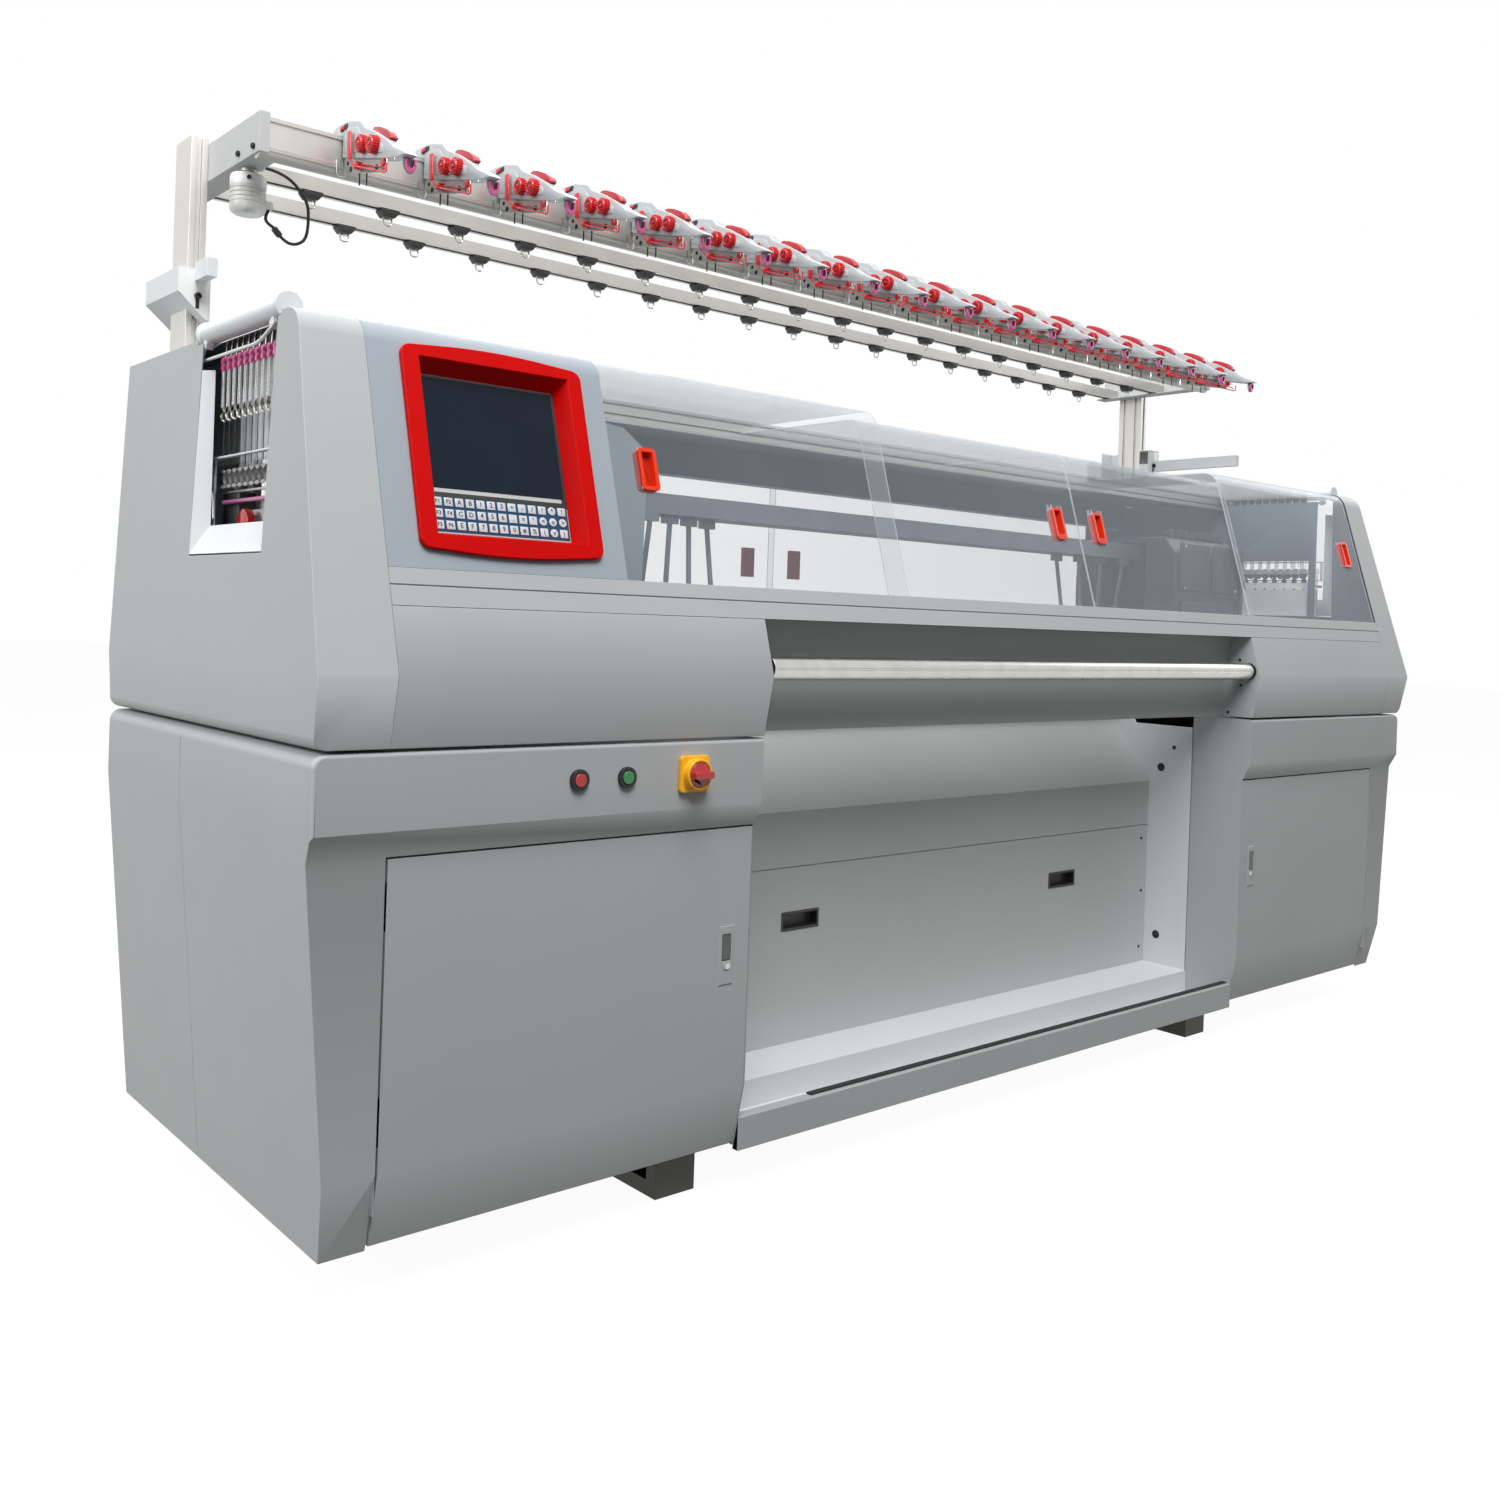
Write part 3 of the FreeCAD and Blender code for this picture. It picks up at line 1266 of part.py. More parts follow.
stand_shape = box(bed_middle - bed_half, bed_middle + bed_half, bed_shoulder, stand_top)
for sign in (-1, 1):
    pad(beds, "YZ", side(sign, stand_x), side(sign, stand_out), stand_shape)

# ---- carriage over the beds
carriage = new_body("carriage")
carriage_end = carriage_start + carriage_length
arch = feed_rail_high + 4
cam = apex + bed_high + fit * 2


def cam_height(distance):
    # height of the carriage's sloping underside at a distance from the beds' middle
    return cam + bed_gap - distance


outer_shape = [
    (bed_middle - carriage_front, cam_height(bed_reach + 20) + 30),
    (bed_middle - bed_reach - 20, cam_height(bed_reach + 20)),
    (bed_middle - 20, cam_height(20)),
    (bed_middle - 20, apex + 64),
    (bed_middle - 60, apex + 64),
    (bed_middle - 60, arch),
    (bed_middle + 60, arch),
    (bed_middle + 60, apex + 64),
    (bed_middle + 20, apex + 64),
    (bed_middle + 20, cam_height(20)),
    (bed_middle + bed_reach + 20, cam_height(bed_reach + 20)),
    (bed_middle + carriage_front, cam_height(bed_reach + 20) + 30),
    (bed_middle + carriage_front, carriage_top - 40, 12),
    (bed_middle + carriage_front - 30, carriage_top, 12),
    (bed_middle - carriage_front + 30, carriage_top, 12),
    (bed_middle - carriage_front, carriage_top - 40, 12),
]
pad(carriage, "YZ", carriage_start, carriage_end, outer_shape)

# ---- feeder rails with their yarn feeders
rails = new_body("yarn_rails")
first_rail = bed_middle - feed_rail_pitch * 1.5
for row in range(4):
    rail_y = first_rail + feed_rail_pitch * row
    rail_box = box(rail_y - feed_rail_width / 2, rail_y + feed_rail_width / 2, feed_rail_low, feed_rail_high)
    pad(rails, "YZ", -stand_x, stand_x, rail_box)
for place_x, row in ((-700, 0), (-640, 1), (-580, 2), (-520, 3), (560, 3), (620, 2), (680, 1), (740, 0)):
    rail_y = first_rail + feed_rail_pitch * row
    block = box(place_x, place_x + 34, feed_rail_low - 14, feed_rail_low + 1)
    pad(rails, "XZ", rail_y - feed_rail_width / 2, rail_y + feed_rail_width / 2, block)
    lean = bed_middle + (rail_y - bed_middle) * 0.3
    finger = [
        (rail_y - 3, feed_rail_low - 12),
        (rail_y + 3, feed_rail_low - 12),
        (lean + 3, apex + 75),
        (bed_middle + 2, apex + 40),
        (bed_middle - 2, apex + 40),
        (lean - 3, apex + 75),
    ]
    pad(rails, "YZ", place_x + 13, place_x + 21, finger)

# ---- drive and electrics inside the cabinets
electrics = new_body("cabinet_equipment")
floor_top = floor + wall
case_low = floor_top + 60
pad(electrics, "XY", floor_top, case_low, box(-half + 120, -half + 150, 200, 560))
pad(electrics, "XY", floor_top, case_low, box(-half + 530, -half + 560, 200, 560))
pad(electrics, "XY", case_low, case_low + 300, box(-half + 100, -half + 580, 180, 580))
fins = box(-half + 130, -half + 136, case_low + 30, case_low + 270)
fin = pad(electrics, "XZ", 168, 181, fins)
repeat(electrics, [fin], "X", as_size(45), 10)

motor_x = half - 330
pad(electrics, "XY", floor_top, floor_top + 10, box(motor_x - 110, motor_x + 110, 300, 520))
for offset in (-70, 40):
    pad(electrics, "YZ", motor_x + offset, motor_x + offset + 30, box(330, 490, floor_top + 9, floor_top + 120))
pad(electrics, "YZ", motor_x - 100, motor_x + 100, circle(410, floor_top + 150, 160))
pad(electrics, "YZ", motor_x + 99, motor_x + 150, circle(410, floor_top + 150, 110))

# ---- yarn rack: posts, end plates and rails
posts = new_body("rack_posts")
post_in = end_in - 1
post_out = post_in + post_width
post_back = post_front + post_depth
for sign in (-1, 1):
    post = box(side(sign, post_in), side(sign, post_out), post_front, post_back)
    pad(posts, "XY", roof, post_top, post)
    middle_x = side(sign, post_in + post_width / 2)
    front_groove = box(middle_x - post_groove / 2, middle_x + post_groove / 2, post_front - 1, post_front + groove_depth)
    cut(posts, "XY", roof - 1, post_top + 1, front_groove)
    for middle_y in (post_front + post_depth / 4, post_back - post_depth / 4):
        inner_groove = box(
            side(sign, post_in - 1), side(sign, post_in + groove_depth),
            middle_y - post_groove / 2, middle_y + post_groove / 2)
        cut(posts, "XY", roof - 1, post_top + 1, inner_groove)
    core = box(
        side(sign, post_in + groove_depth + 3), side(sign, post_out - 3),
        post_front + groove_depth + 4, post_back - 4)
    cut(posts, "XY", roof - 1, post_top - 4, core)

end_plates = new_body("rack_end_plates")
rail_half = post_in - rack_sheet
lamp_x = rail_half - lamp_inset
gland_x = rail_half - flange_low
gland_y = lamp_y
gland_z = plate_low + rack_sheet
cable_mid = gland_z + cable_diameter / 2 + 2
for sign in (-1, 1):
    wall_shape = box(plate_start, plate_end, plate_low, plate_high)
    pad(end_plates, "YZ", side(sign, rail_half), side(sign, post_in), wall_shape)
    flange = box(side(sign, rail_half - flange_low), side(sign, post_in), rail_front + rail_depth + 5, plate_end)
    pad(end_plates, "XY", plate_low, gland_z, flange)
    fold = box(side(sign, rail_half - flange_front), side(sign, post_in), plate_low, plate_high)
    pad(end_plates, "XZ", plate_start, plate_start + rack_sheet, fold)
gland = box(gland_y - 7, gland_y + 7, gland_z - 1, cable_mid + 6)
pad(end_plates, "YZ", -gland_x - 14, -gland_x + 6, gland)

rack_rail = new_body("rack_rail")
rail_back = rail_front + rail_depth
flat = [
    (rail_front, rail_low),
    (rail_back, rail_low),
    (rail_back, rail_high),
    (rail_front, rail_high),
    (rail_front, rail_high - rail_lip),
    (rail_front + rail_recess, rail_high - rail_lip),
    (rail_front + rail_recess, rail_low + rail_lip),
    (rail_front, rail_low + rail_lip),
]
pad(rack_rail, "YZ", -rail_half, rail_half, flat)
nose_y = rail_front + rail_depth / 2
pad(rack_rail, "YZ", -rail_half, rail_half, circle(nose_y, rail_low, rail_round * 1.3))
hollow_rail = box(rail_front + rail_recess + 3, rail_back - 3, rail_low + 14, rail_high - 4)
cut(rack_rail, "YZ", -rail_half - 1, rail_half + 1, hollow_rail)

guides = new_body("guide_rails")
for front in (guide_front, guide_front + guide_pitch):
    channel = [
        (front, guide_low),
        (front + 8, guide_low),
        (front + 8, guide_low + 3),
        (front + 3, guide_low + 3),
        (front + 3, guide_low + guide_height - 3),
        (front + guide_width - 3, guide_low + guide_height - 3),
        (front + guide_width - 3, guide_low + 3),
        (front + guide_width - 8, guide_low + 3),
        (front + guide_width - 8, guide_low),
        (front + guide_width, guide_low),
        (front + guide_width, guide_low + guide_height),
        (front, guide_low + guide_height),
    ]
    pad(guides, "YZ", -rail_half, rail_half, channel)

holders = new_body("yarn_holders")
holder_top = guide_low
hat = 35
for front, start, count in (
    (guide_front, holder_inset - rail_half, unit_count),
    (guide_front + guide_pitch, holder_inset - rail_half + holder_pitch - 10, unit_count - 1),
):
    middle_y = front + guide_width / 2
    block = [
        (start - hat / 2 + 7, holder_top - 13),
        (start + hat / 2 - 7, holder_top - 13),
        (start + hat / 2, holder_top - 4),
        (start + hat / 2, holder_top),
        (start - hat / 2, holder_top),
        (start - hat / 2, holder_top - 4),
    ]
    body_block = pad(holders, "XZ", middle_y - 13, middle_y + 13, block)
    repeat(holders, [body_block], "X", holder_pitch, count)
    loop_shape = box(start - 9, start + 9, holder_top - 28, holder_top - 11)
    loop_hole = box(start - 6, start + 6, holder_top - 25, holder_top - 13)
    ring = pad(holders, "XZ", middle_y - 2, middle_y + 2, loop_shape, loop_hole)
    repeat(holders, [ring], "X", holder_pitch, count)

# ---- yarn tension units, each a slim case square to the main rail
start = unit_inset - rail_half


def reach(forward, above):
    # a point of a unit, from the main rail's upper front edge
    return (rail_front - forward, rail_high + above)


units = new_body("tension_units")
case_left = start - case_out
case_shape = [
    reach(-42, 0.3),
    reach(-42, 13),
    reach(-27, 21) + (8,),
    reach(-7, 21.5),
    reach(25, 19),
    reach(62, 10),
    reach(78, -4),
    reach(116, -20),
    reach(154, -40),
    reach(176, -56),
    reach(214, -72),
    reach(224, -80),
    reach(192, -79),
    reach(151, -71),
    reach(74, -53),
    reach(0, -35),
    reach(0, 0.3),
]
case = pad(units, "YZ", case_left, case_left + case_width, case_shape)
lens_shape = [
    reach(92, -12),
    reach(102, -7),
    reach(119, -12),
    reach(139, -20),
    reach(157, -33),
    reach(164, -46),
    reach(140, -40),
    reach(110, -25),
]
lens = pad(units, "YZ", start + 1, start + 16, lens_shape)
plate_shape = [
    reach(0, -30),
    reach(0, -51),
    reach(14, -63),
    reach(94, -79),
    reach(141, -88),
    reach(141, -65),
    reach(74, -48),
]
side_plate = pad(units, "YZ", start, start + unit_plate, plate_shape)
flap_shape = [
    (start + 2, rail_high - 74),
    (start + 2, rail_high - 92),
    (start + 8, rail_high - 102),
    (start + 19, rail_high - 102),
    (start + 25, rail_high - 92),
    (start + 25, rail_high - 74),
]
flap = pad(units, "XZ", rail_front - eyelet_out, rail_front - eyelet_out + 2, flap_shape)
repeat(units, [case, lens, side_plate, flap], "X", unit_pitch, unit_count)

knobs = new_body("tension_knobs")
rear_knob = fluted(rail_front - knob_back, rail_high - 34, knob_radius * 2, 12)
front_knob = fluted(rail_front - knob_back - knob_spacing, rail_high - 34 - knob_drop, knob_radius * 2, 12)
first_knob = pad(knobs, "YZ", case_left - knob_length, case_left, rear_knob)
second_knob = pad(knobs, "YZ", case_left - knob_length, case_left, front_knob)
repeat(knobs, [first_knob, second_knob], "X", unit_pitch, unit_count)

feelers = new_body("feeler_arms")
arm_path = [
    reach(37, -6),
    reach(37, -43),
    reach(56, -63),
    reach(86, -72),
    reach(169, -99),
    reach(176, -98),
    reach(176, -83),
    reach(176 - wire_thick, -83),
    reach(176 - wire_thick, -95),
    reach(169, -99 + wire_thick),
    reach(86, -72 + wire_thick),
    reach(62, -58),
    reach(47, -39),
    reach(47, -6),
]
wire_left = start - wire_out - wire_thick
wire = pad(feelers, "YZ", wire_left, start - wire_out, arm_path)
pivot_low = reach(70, -68)
pivot = box(pivot_low[0], pivot_low[0] + 10, pivot_low[1], pivot_low[1] + 9)
hub = pad(feelers, "YZ", wire_left, start, pivot)
eye_shape = [
    (start + 5, rail_high - 80),
    (start + 5, rail_high - 95),
    (start + 9, rail_high - 101),
    (start + 18, rail_high - 101),
    (start + 22, rail_high - 95),
    (start + 22, rail_high - 80),
    (start + 17, rail_high - 80),
    (start + 17, rail_high - 93),
    (start + 10, rail_high - 93),
    (start + 10, rail_high - 80),
]
eye_front = rail_front - eyelet_out - eyelet_deep
eye = pad(feelers, "XZ", eye_front, eye_front + eyelet_deep, eye_shape)
repeat(feelers, [wire, hub, eye], "X", unit_pitch, unit_count)

# ---- post brackets and support arms
brackets = new_body("post_brackets")
for sign in (-1, 1):
    shape = [
        (side(sign, post_in), bracket_foot),
        (side(sign, post_in + 4), bracket_foot),
        (side(sign, post_out + bracket_out), bracket_low),
        (side(sign, post_out + bracket_out), bracket_high),
        (side(sign, post_in), bracket_high),
    ]
    pad(brackets, "XZ", post_front - 31, bracket_back, shape)
    hole = box(side(sign, post_in - 1), side(sign, post_out), post_front, post_back)
    cut(brackets, "XY", bracket_foot - 1, bracket_high + 1, hole)
    rear_hole = box(side(sign, post_in - 1), side(sign, post_out + bracket_out - 3), post_back, bracket_back - 3)
    cut(brackets, "XY", bracket_low, bracket_high + 1, rear_hole)
    front_hole = box(side(sign, post_in - 1), side(sign, post_out + bracket_out - 3), post_front - 28, post_front)
    cut(brackets, "XY", bracket_low, bracket_high - 3, front_hole)

arms = new_body("support_arms")
arm_back = post_front - 31
for sign, inner, low, long in (
    (-1, post_out - arm_width - 2, left_arm_low, left_arm_length),
    (1, post_out, right_arm_low, right_arm_length),
):
    end = arm_back - long
    tube = box(side(sign, inner), side(sign, inner + arm_width), low, low + arm_height)
    pad(arms, "XZ", end, arm_back, tube)
    bore = box(side(sign, inner + 2), side(sign, inner + arm_width - 2), low + 2, low + arm_height - 2)
    cut(arms, "XZ", end + 3, arm_back - 20, bore)

# ---- warning lamp under the left end plate, with its looped cable
lamp = new_body("warning_lamp")
lamp_r = lamp_diameter / 2
lamp_top = plate_low
collar_r = lamp_r * 0.45
lamp_shape = [
    (0, lamp_low),
    (lamp_r - 8, lamp_low),
    (lamp_r, lamp_low + 8),
    (lamp_r, lamp_top - lamp_neck),
    (collar_r, lamp_top - lamp_neck),
    (collar_r, lamp_top),
    (0, lamp_top),
]
turn(lamp, "XZ", -lamp_y, (-lamp_x, 0), lamp_shape)
cable_in = -lamp_x + lamp_r + 6
boss_low = lamp_top - 59
boss = box(-lamp_x + lamp_r - 4, cable_in + 6, lamp_y - 6, lamp_y + 6)
pad(lamp, "XY", boss_low, boss_low + 14, boss)


def run_of(points, radii):
    # straight runs joined by tangent arcs
    edges = []
    start_point = points[0]
    for i, radius in enumerate(radii):
        first, middle, last, turns_left = corner_arc(points[i], points[i + 1], points[i + 2], radius)
        edges.append(Part.LineSegment(start_point, first).toShape())
        edges.append(Part.Arc(first, middle, last).toShape())
        start_point = last
    edges.append(Part.LineSegment(start_point, points[-1]).toShape())
    return edges


def cable(name, points, thickness):
    # the points are X and Z pairs in the lamp's own plane
    flat_points = [FreeCAD.Vector(as_size(x).value, as_size(z).value, 0) for x, z in points]
    radii = []
    for i in range(1, len(flat_points) - 1):
        before = flat_points[i] - flat_points[i - 1]
        after = flat_points[i + 1] - flat_points[i]
        shorter = min(before.Length, after.Length)
        radii.append(0.45 * shorter / math.tan(before.getAngle(after) / 2))
    edges = run_of(flat_points, radii)
    path = Part.Wire(Part.__sortEdges__(edges))
    radius = thickness.value / 2
    section = Part.Wire([Part.makeCircle(radius, flat_points[0], flat_points[1] - flat_points[0])])
    tube = path.makePipeShell([section], True, False)
    feature = doc.addObject("Part::Feature", name)
    feature.Label = name
    feature.Shape = Part.Solid(tube) if tube.ShapeType == "Shell" else tube
    expected = math.pi * radius ** 2 * path.Length
    volume = feature.Shape.Volume
    print(name, "radii", [round(r, 1) for r in radii], "volume", round(volume), "expected", round(expected))
    feature.Placement = FreeCAD.Placement(FreeCAD.Vector(), FreeCAD.Rotation(FreeCAD.Vector(1, 0, 0), 90))
    bind(feature, "Placement.Base.y", lamp_y - centre_depth)
    nodes.append(feature)
    return feature


plug_x = cable_in + 15
plug_z = lamp_top - 91
plug_reach = 9 * 0.7071
end_x = plug_x + plug_reach
end_z = plug_z - plug_reach
turn_run = 12
loop = [
    (-gland_x + 6, cable_mid),
    (-gland_x + 42, cable_mid),
    (end_x + 44, cable_mid - 35),
    (end_x + 46, cable_mid - 68),
    (end_x + 43, end_z + 2),
    (end_x + 28.6, end_z - turn_run),
    (end_x + turn_run, end_z - turn_run),
    (end_x, end_z),
]
cable("lamp_cable", loop, cable_diameter)
near_end_x = plug_x - plug_reach
near_end_z = plug_z + plug_reach
rise = near_end_x - cable_in
tail = [
    (near_end_x, near_end_z),
    (cable_in, near_end_z + rise),
    (cable_in, boss_low),
]
cable("lamp_tail", tail, cable_diameter)

connector = new_body("cable_connector")
across = 5.5 * 0.7071
plug_shape = [
    (end_x - across, end_z - across),
    (end_x + across, end_z + across),
    (near_end_x + across, near_end_z + across),
    (near_end_x - across, near_end_z - across),
]
pad(connector, "XZ", lamp_y - 5.5, lamp_y + 5.5, plug_shape)

# ---- yarn guides in the side openings
side_guides = new_body("side_guides")
side_arms = new_body("side_arms")
for sign in (-1, 1):
    axis_x = side(sign, half - tube_in)
    for front, back_end, diameter in (
        (opening_front - 2, opening_back + 12, guide_tube),
        (opening_front - 8, opening_front - 1, tube_cap),
        (opening_back + 11, opening_back + 18, tube_cap),
    ):
        pad(side_guides, "XZ", front, back_end, circle(axis_x, tube_height, diameter))
    comb_x = side(sign, half - 72)
    comb = box(side(sign, half - 76), side(sign, half - 68), opening_front + 6, opening_back - 6)
    pad(side_guides, "XY", opening_low, opening_low + 70, comb)
    arm_y = opening_front + 25
    arm = box(arm_y, arm_y + 10, arm_low, arm_top)
    first_arm = pad(side_arms, "YZ", side(sign, half - 66), side(sign, half - 62), arm)
    repeat(side_arms, [first_arm], "Y", arm_pitch, arm_count)
    bar_box = box(side(sign, half - 68), side(sign, half - 60), arm_low - 12, arm_low + 2)
    pad(side_arms, "XZ", opening_front + 8, opening_back - 8, bar_box)
    foot_box = box(side(sign, half - 68), side(sign, half - 60), opening_low, arm_low - 11)
    for foot_y in (opening_front + 10, opening_back - 18):
        pad(side_arms, "XZ", foot_y, foot_y + 8, foot_box)

doc.recompute()
faults = []
for item in doc.Objects:
    if "Invalid" in item.State or "Error" in item.State:
        faults.append(f"{item.Name} {item.State}")
for body in nodes:
    if body.Shape.isNull() or not body.Shape.isValid():
        faults.append(f"{body.Label} shape")
    features = [item for item in getattr(body, "Group", []) if hasattr(item, "Shape")]
    before = None
    for item in features:
        if item.TypeId == "PartDesign::Pocket" and before and abs(item.Shape.Volume - before) < 0.01:
            faults.append(f"{item.Name} cuts nothing")
        if item.TypeId.startswith("PartDesign::"):
            before = item.Shape.Volume
if faults:
    raise RuntimeError("; ".join(faults))

os.makedirs("parts", exist_ok=True)
for body in nodes:
    body.Shape.exportStep(f"parts/{body.Label}.step")
print(len(nodes), "sub-parts written")
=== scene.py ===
import bpy
import json
import math
from mathutils import Matrix, Vector

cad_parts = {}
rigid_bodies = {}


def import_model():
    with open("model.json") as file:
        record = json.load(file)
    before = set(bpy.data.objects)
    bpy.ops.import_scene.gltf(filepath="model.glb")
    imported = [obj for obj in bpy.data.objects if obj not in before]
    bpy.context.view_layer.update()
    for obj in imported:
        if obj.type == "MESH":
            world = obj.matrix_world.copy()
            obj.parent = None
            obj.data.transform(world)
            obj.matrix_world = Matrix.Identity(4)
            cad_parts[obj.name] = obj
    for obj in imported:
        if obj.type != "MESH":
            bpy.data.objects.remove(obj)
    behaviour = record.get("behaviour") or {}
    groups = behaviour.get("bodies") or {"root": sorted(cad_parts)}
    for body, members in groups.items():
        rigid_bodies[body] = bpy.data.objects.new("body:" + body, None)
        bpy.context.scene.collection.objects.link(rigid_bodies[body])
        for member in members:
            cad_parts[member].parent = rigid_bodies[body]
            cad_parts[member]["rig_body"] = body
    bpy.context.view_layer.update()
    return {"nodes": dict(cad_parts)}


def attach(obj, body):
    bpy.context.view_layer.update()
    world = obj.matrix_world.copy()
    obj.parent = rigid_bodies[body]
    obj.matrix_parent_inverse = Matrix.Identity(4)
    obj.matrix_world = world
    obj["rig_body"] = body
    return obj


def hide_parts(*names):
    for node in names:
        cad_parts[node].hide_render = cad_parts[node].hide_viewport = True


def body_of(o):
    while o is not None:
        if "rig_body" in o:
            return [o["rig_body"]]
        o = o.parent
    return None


# Flat knitting machine, in metres: the front faces -Y, X runs along the machine, Z is up.
# Places in the dictionaries are in millimetres: along the machine, behind its front band, above the floor.

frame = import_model()
nodes = frame["nodes"]
print("frame loaded with", len(nodes), "nodes")

frontBand = -0.415             # Y of the cabinets' front band
slope = 0.3                    # lean of the housing's front
ridgeHeight = 816
ridgeOut = 18


def spot(x, y, z):
    return Vector((x / 1000, y / 1000 + frontBand, z / 1000))


def frontSpot(x, climb, inside=0.0):
    # a point on the sloping front: so far up the slope from the ridge, and so far behind the face
    lean = math.hypot(1, slope)
    depth = -ridgeOut + climb * slope / lean + inside / lean
    return spot(x, depth, ridgeHeight + climb / lean - inside * slope / lean)


origin = (0, -frontBand * 1000, 0)      # the scene's own origin, in the dictionaries' terms

camera = {
    "place": (-2.1399, -2.0143, 0.8966),
    "yaw": 40.738,             # degrees from +Y towards +X
    "pitch": -0.106,
    "roll": 1.988,             # the camera was held slightly turned
    "lens": 33.14,
    "shift": -0.083,
}


def addCamera():
    yaw, pitch, roll = (math.radians(camera[name]) for name in ("yaw", "pitch", "roll"))
    upright = Matrix.Rotation(math.pi / 2 + pitch, 3, "X")
    turn = Matrix.Rotation(-yaw, 3, "Z") @ upright @ Matrix.Rotation(roll, 3, "Z")
    bpy.ops.object.camera_add(location=camera["place"], rotation=turn.to_euler())
    cam = bpy.context.object
    cam.name = "photoCamera"
    cam.data.lens = camera["lens"]
    cam.data.sensor_width = 36
    cam.data.shift_y = camera["shift"]
    cam.data.clip_end = 60
    bpy.context.scene.camera = cam


light = {
    "sky": {"place": (-0.6, 0.4, 5.0), "aim": (-0.1, 0, 0.8), "size": 4.0, "power": 52},
    "left": {"place": (-5.2, 0.3, 2.8), "aim": (-1.4, 0, 0.8), "size": 2.6, "power": 138},
    "front": {"place": (-1.9, -2.8, 4.9), "aim": (-0.4, -0.2, 0.8), "size": 2.6, "power": 285},
    "right": {"place": (5.2, -0.4, 2.8), "aim": (1.4, 0, 0.8), "size": 2.6, "power": 60},
    "back": {"place": (1.0, 3.6, 4.4), "aim": (0, 0, 0.9), "size": 3.0, "power": 110},
    "world": 0.21,
    "floorShine": 0.96,        # what the camera sees of the floor beyond its own shade
    "floorGrey": (0.09, 0.09, 0.089, 1),
}


def feed(tree, node, inputs):
    # inputs are given as constants or as other nodes' outputs
    for key, value in inputs.items():
        if isinstance(value, bpy.types.NodeSocket):
            tree.links.new(value, node.inputs[key])
        else:
            node.inputs[key].default_value = value


def addNode(tree, kind, inputs, operation=None):
    made = tree.nodes.new(kind)
    if operation:
        made.operation = operation
    feed(tree, made, inputs)
    return made


def addMath(tree, operation, *values):
    return addNode(tree, "ShaderNodeMath", dict(enumerate(values)), operation)


def whiteForCamera(tree):
    # 1 for rays that see the background: camera, glossy and transmission
    path = addNode(tree, "ShaderNodeLightPath", {}).outputs
    seen = addMath(tree, "MAXIMUM", path["Is Camera Ray"], path["Is Glossy Ray"])
    through = addMath(tree, "MAXIMUM", seen.outputs[0], path["Is Transmission Ray"])
    seen.use_clamp = through.use_clamp = True
    return through.outputs[0]


def addLights():
    for name in ("sky", "left", "front", "right", "back"):
        one = light[name]
        bpy.ops.object.light_add(type="AREA", location=one["place"])
        lamp = bpy.context.object
        lamp.name = name + "Light"
        lamp.data.size = one["size"]
        lamp.data.energy = one["power"]
        aim = Vector(one["aim"]) - Vector(one["place"])
        lamp.rotation_euler = aim.to_track_quat("-Z", "Y").to_euler()
    world = bpy.data.worlds.new("studio")
    bpy.context.scene.world = world
    world.use_nodes = True
    tree = world.node_tree
    level = addNode(tree, "ShaderNodeMapRange", {"Value": whiteForCamera(tree), "To Min": light["world"],
            "To Max": 1.0})
    feed(tree, tree.nodes["Background"], {"Strength": level.outputs["Result"], "Color": (1, 1, 1, 1)})


def addFloor():
    bpy.ops.mesh.primitive_plane_add(size=60, location=(0, 0, -0.0005))
    floor = bpy.context.object
    floor.name = "studioFloor"
    made = bpy.data.materials.new("studioFloor")
    made.use_nodes = True
    tree = made.node_tree
    shine = addMath(tree, "MULTIPLY", whiteForCamera(tree), light["floorShine"])
    feed(tree, tree.nodes["Principled BSDF"], {"Base Color": light["floorGrey"], "Roughness": 1.0,
            "Specular IOR Level": 0.0, "Emission Color": (1, 1, 1, 1), "Emission Strength": shine.outputs[0]})
    floor.data.materials.append(made)


bpy.context.scene.view_settings.view_transform = "Standard"
addCamera()
addLights()
addFloor()
print("camera, light and floor")


def newGroup(name, inputs, output):
    kinds = {"Colour": "NodeSocketColor", "Stretch": "NodeSocketVector"}
    group = bpy.data.node_groups.new(name, "ShaderNodeTree")
    for label, value in inputs.items():
        kind = kinds.get(label, "NodeSocketFloat")
        group.interface.new_socket(name=label, in_out="INPUT", socket_type=kind).default_value = value
    group.interface.new_socket(name=output, in_out="OUTPUT", socket_type=kinds.get(output, "NodeSocketFloat"))
    place = group.nodes.new("ShaderNodeTexCoord").outputs["Object"]
    return group, group.nodes.new("NodeGroupInput").outputs, group.nodes.new("NodeGroupOutput"), place


def addNoise(tree, vector, scale, detail=3.0, rough=0.55):
    noise = addNode(tree, "ShaderNodeTexNoise", {"Vector": vector, "Scale": scale, "Detail": detail,
            "Roughness": rough})
    return noise.outputs["Fac"]


def buildToneGroup():
    # slow differences of colour, as on any sprayed or moulded surface
    inputs = {"Colour": (0.5, 0.5, 0.5, 1), "Scale": 4.0, "Amount": 0.05}
    group, entry, leave, place = newGroup("toneDrift", inputs, "Colour")
    slow = addNoise(group, place, entry["Scale"])
    spread = addNode(group, "ShaderNodeMapRange", {"Value": slow, "From Min": 0.3, "From Max": 0.7, "To Min": -1.0,
            "To Max": 1.0})
    strength = addMath(group, "MULTIPLY", spread.outputs["Result"], entry["Amount"])
    raised = addMath(group, "ADD", strength.outputs[0], 1.0)
    shade = addNode(group, "ShaderNodeVectorMath", {0: entry["Colour"], "Scale": raised.outputs[0]}, "SCALE")
    feed(group, leave, {"Colour": shade.outputs["Vector"]})
    return group


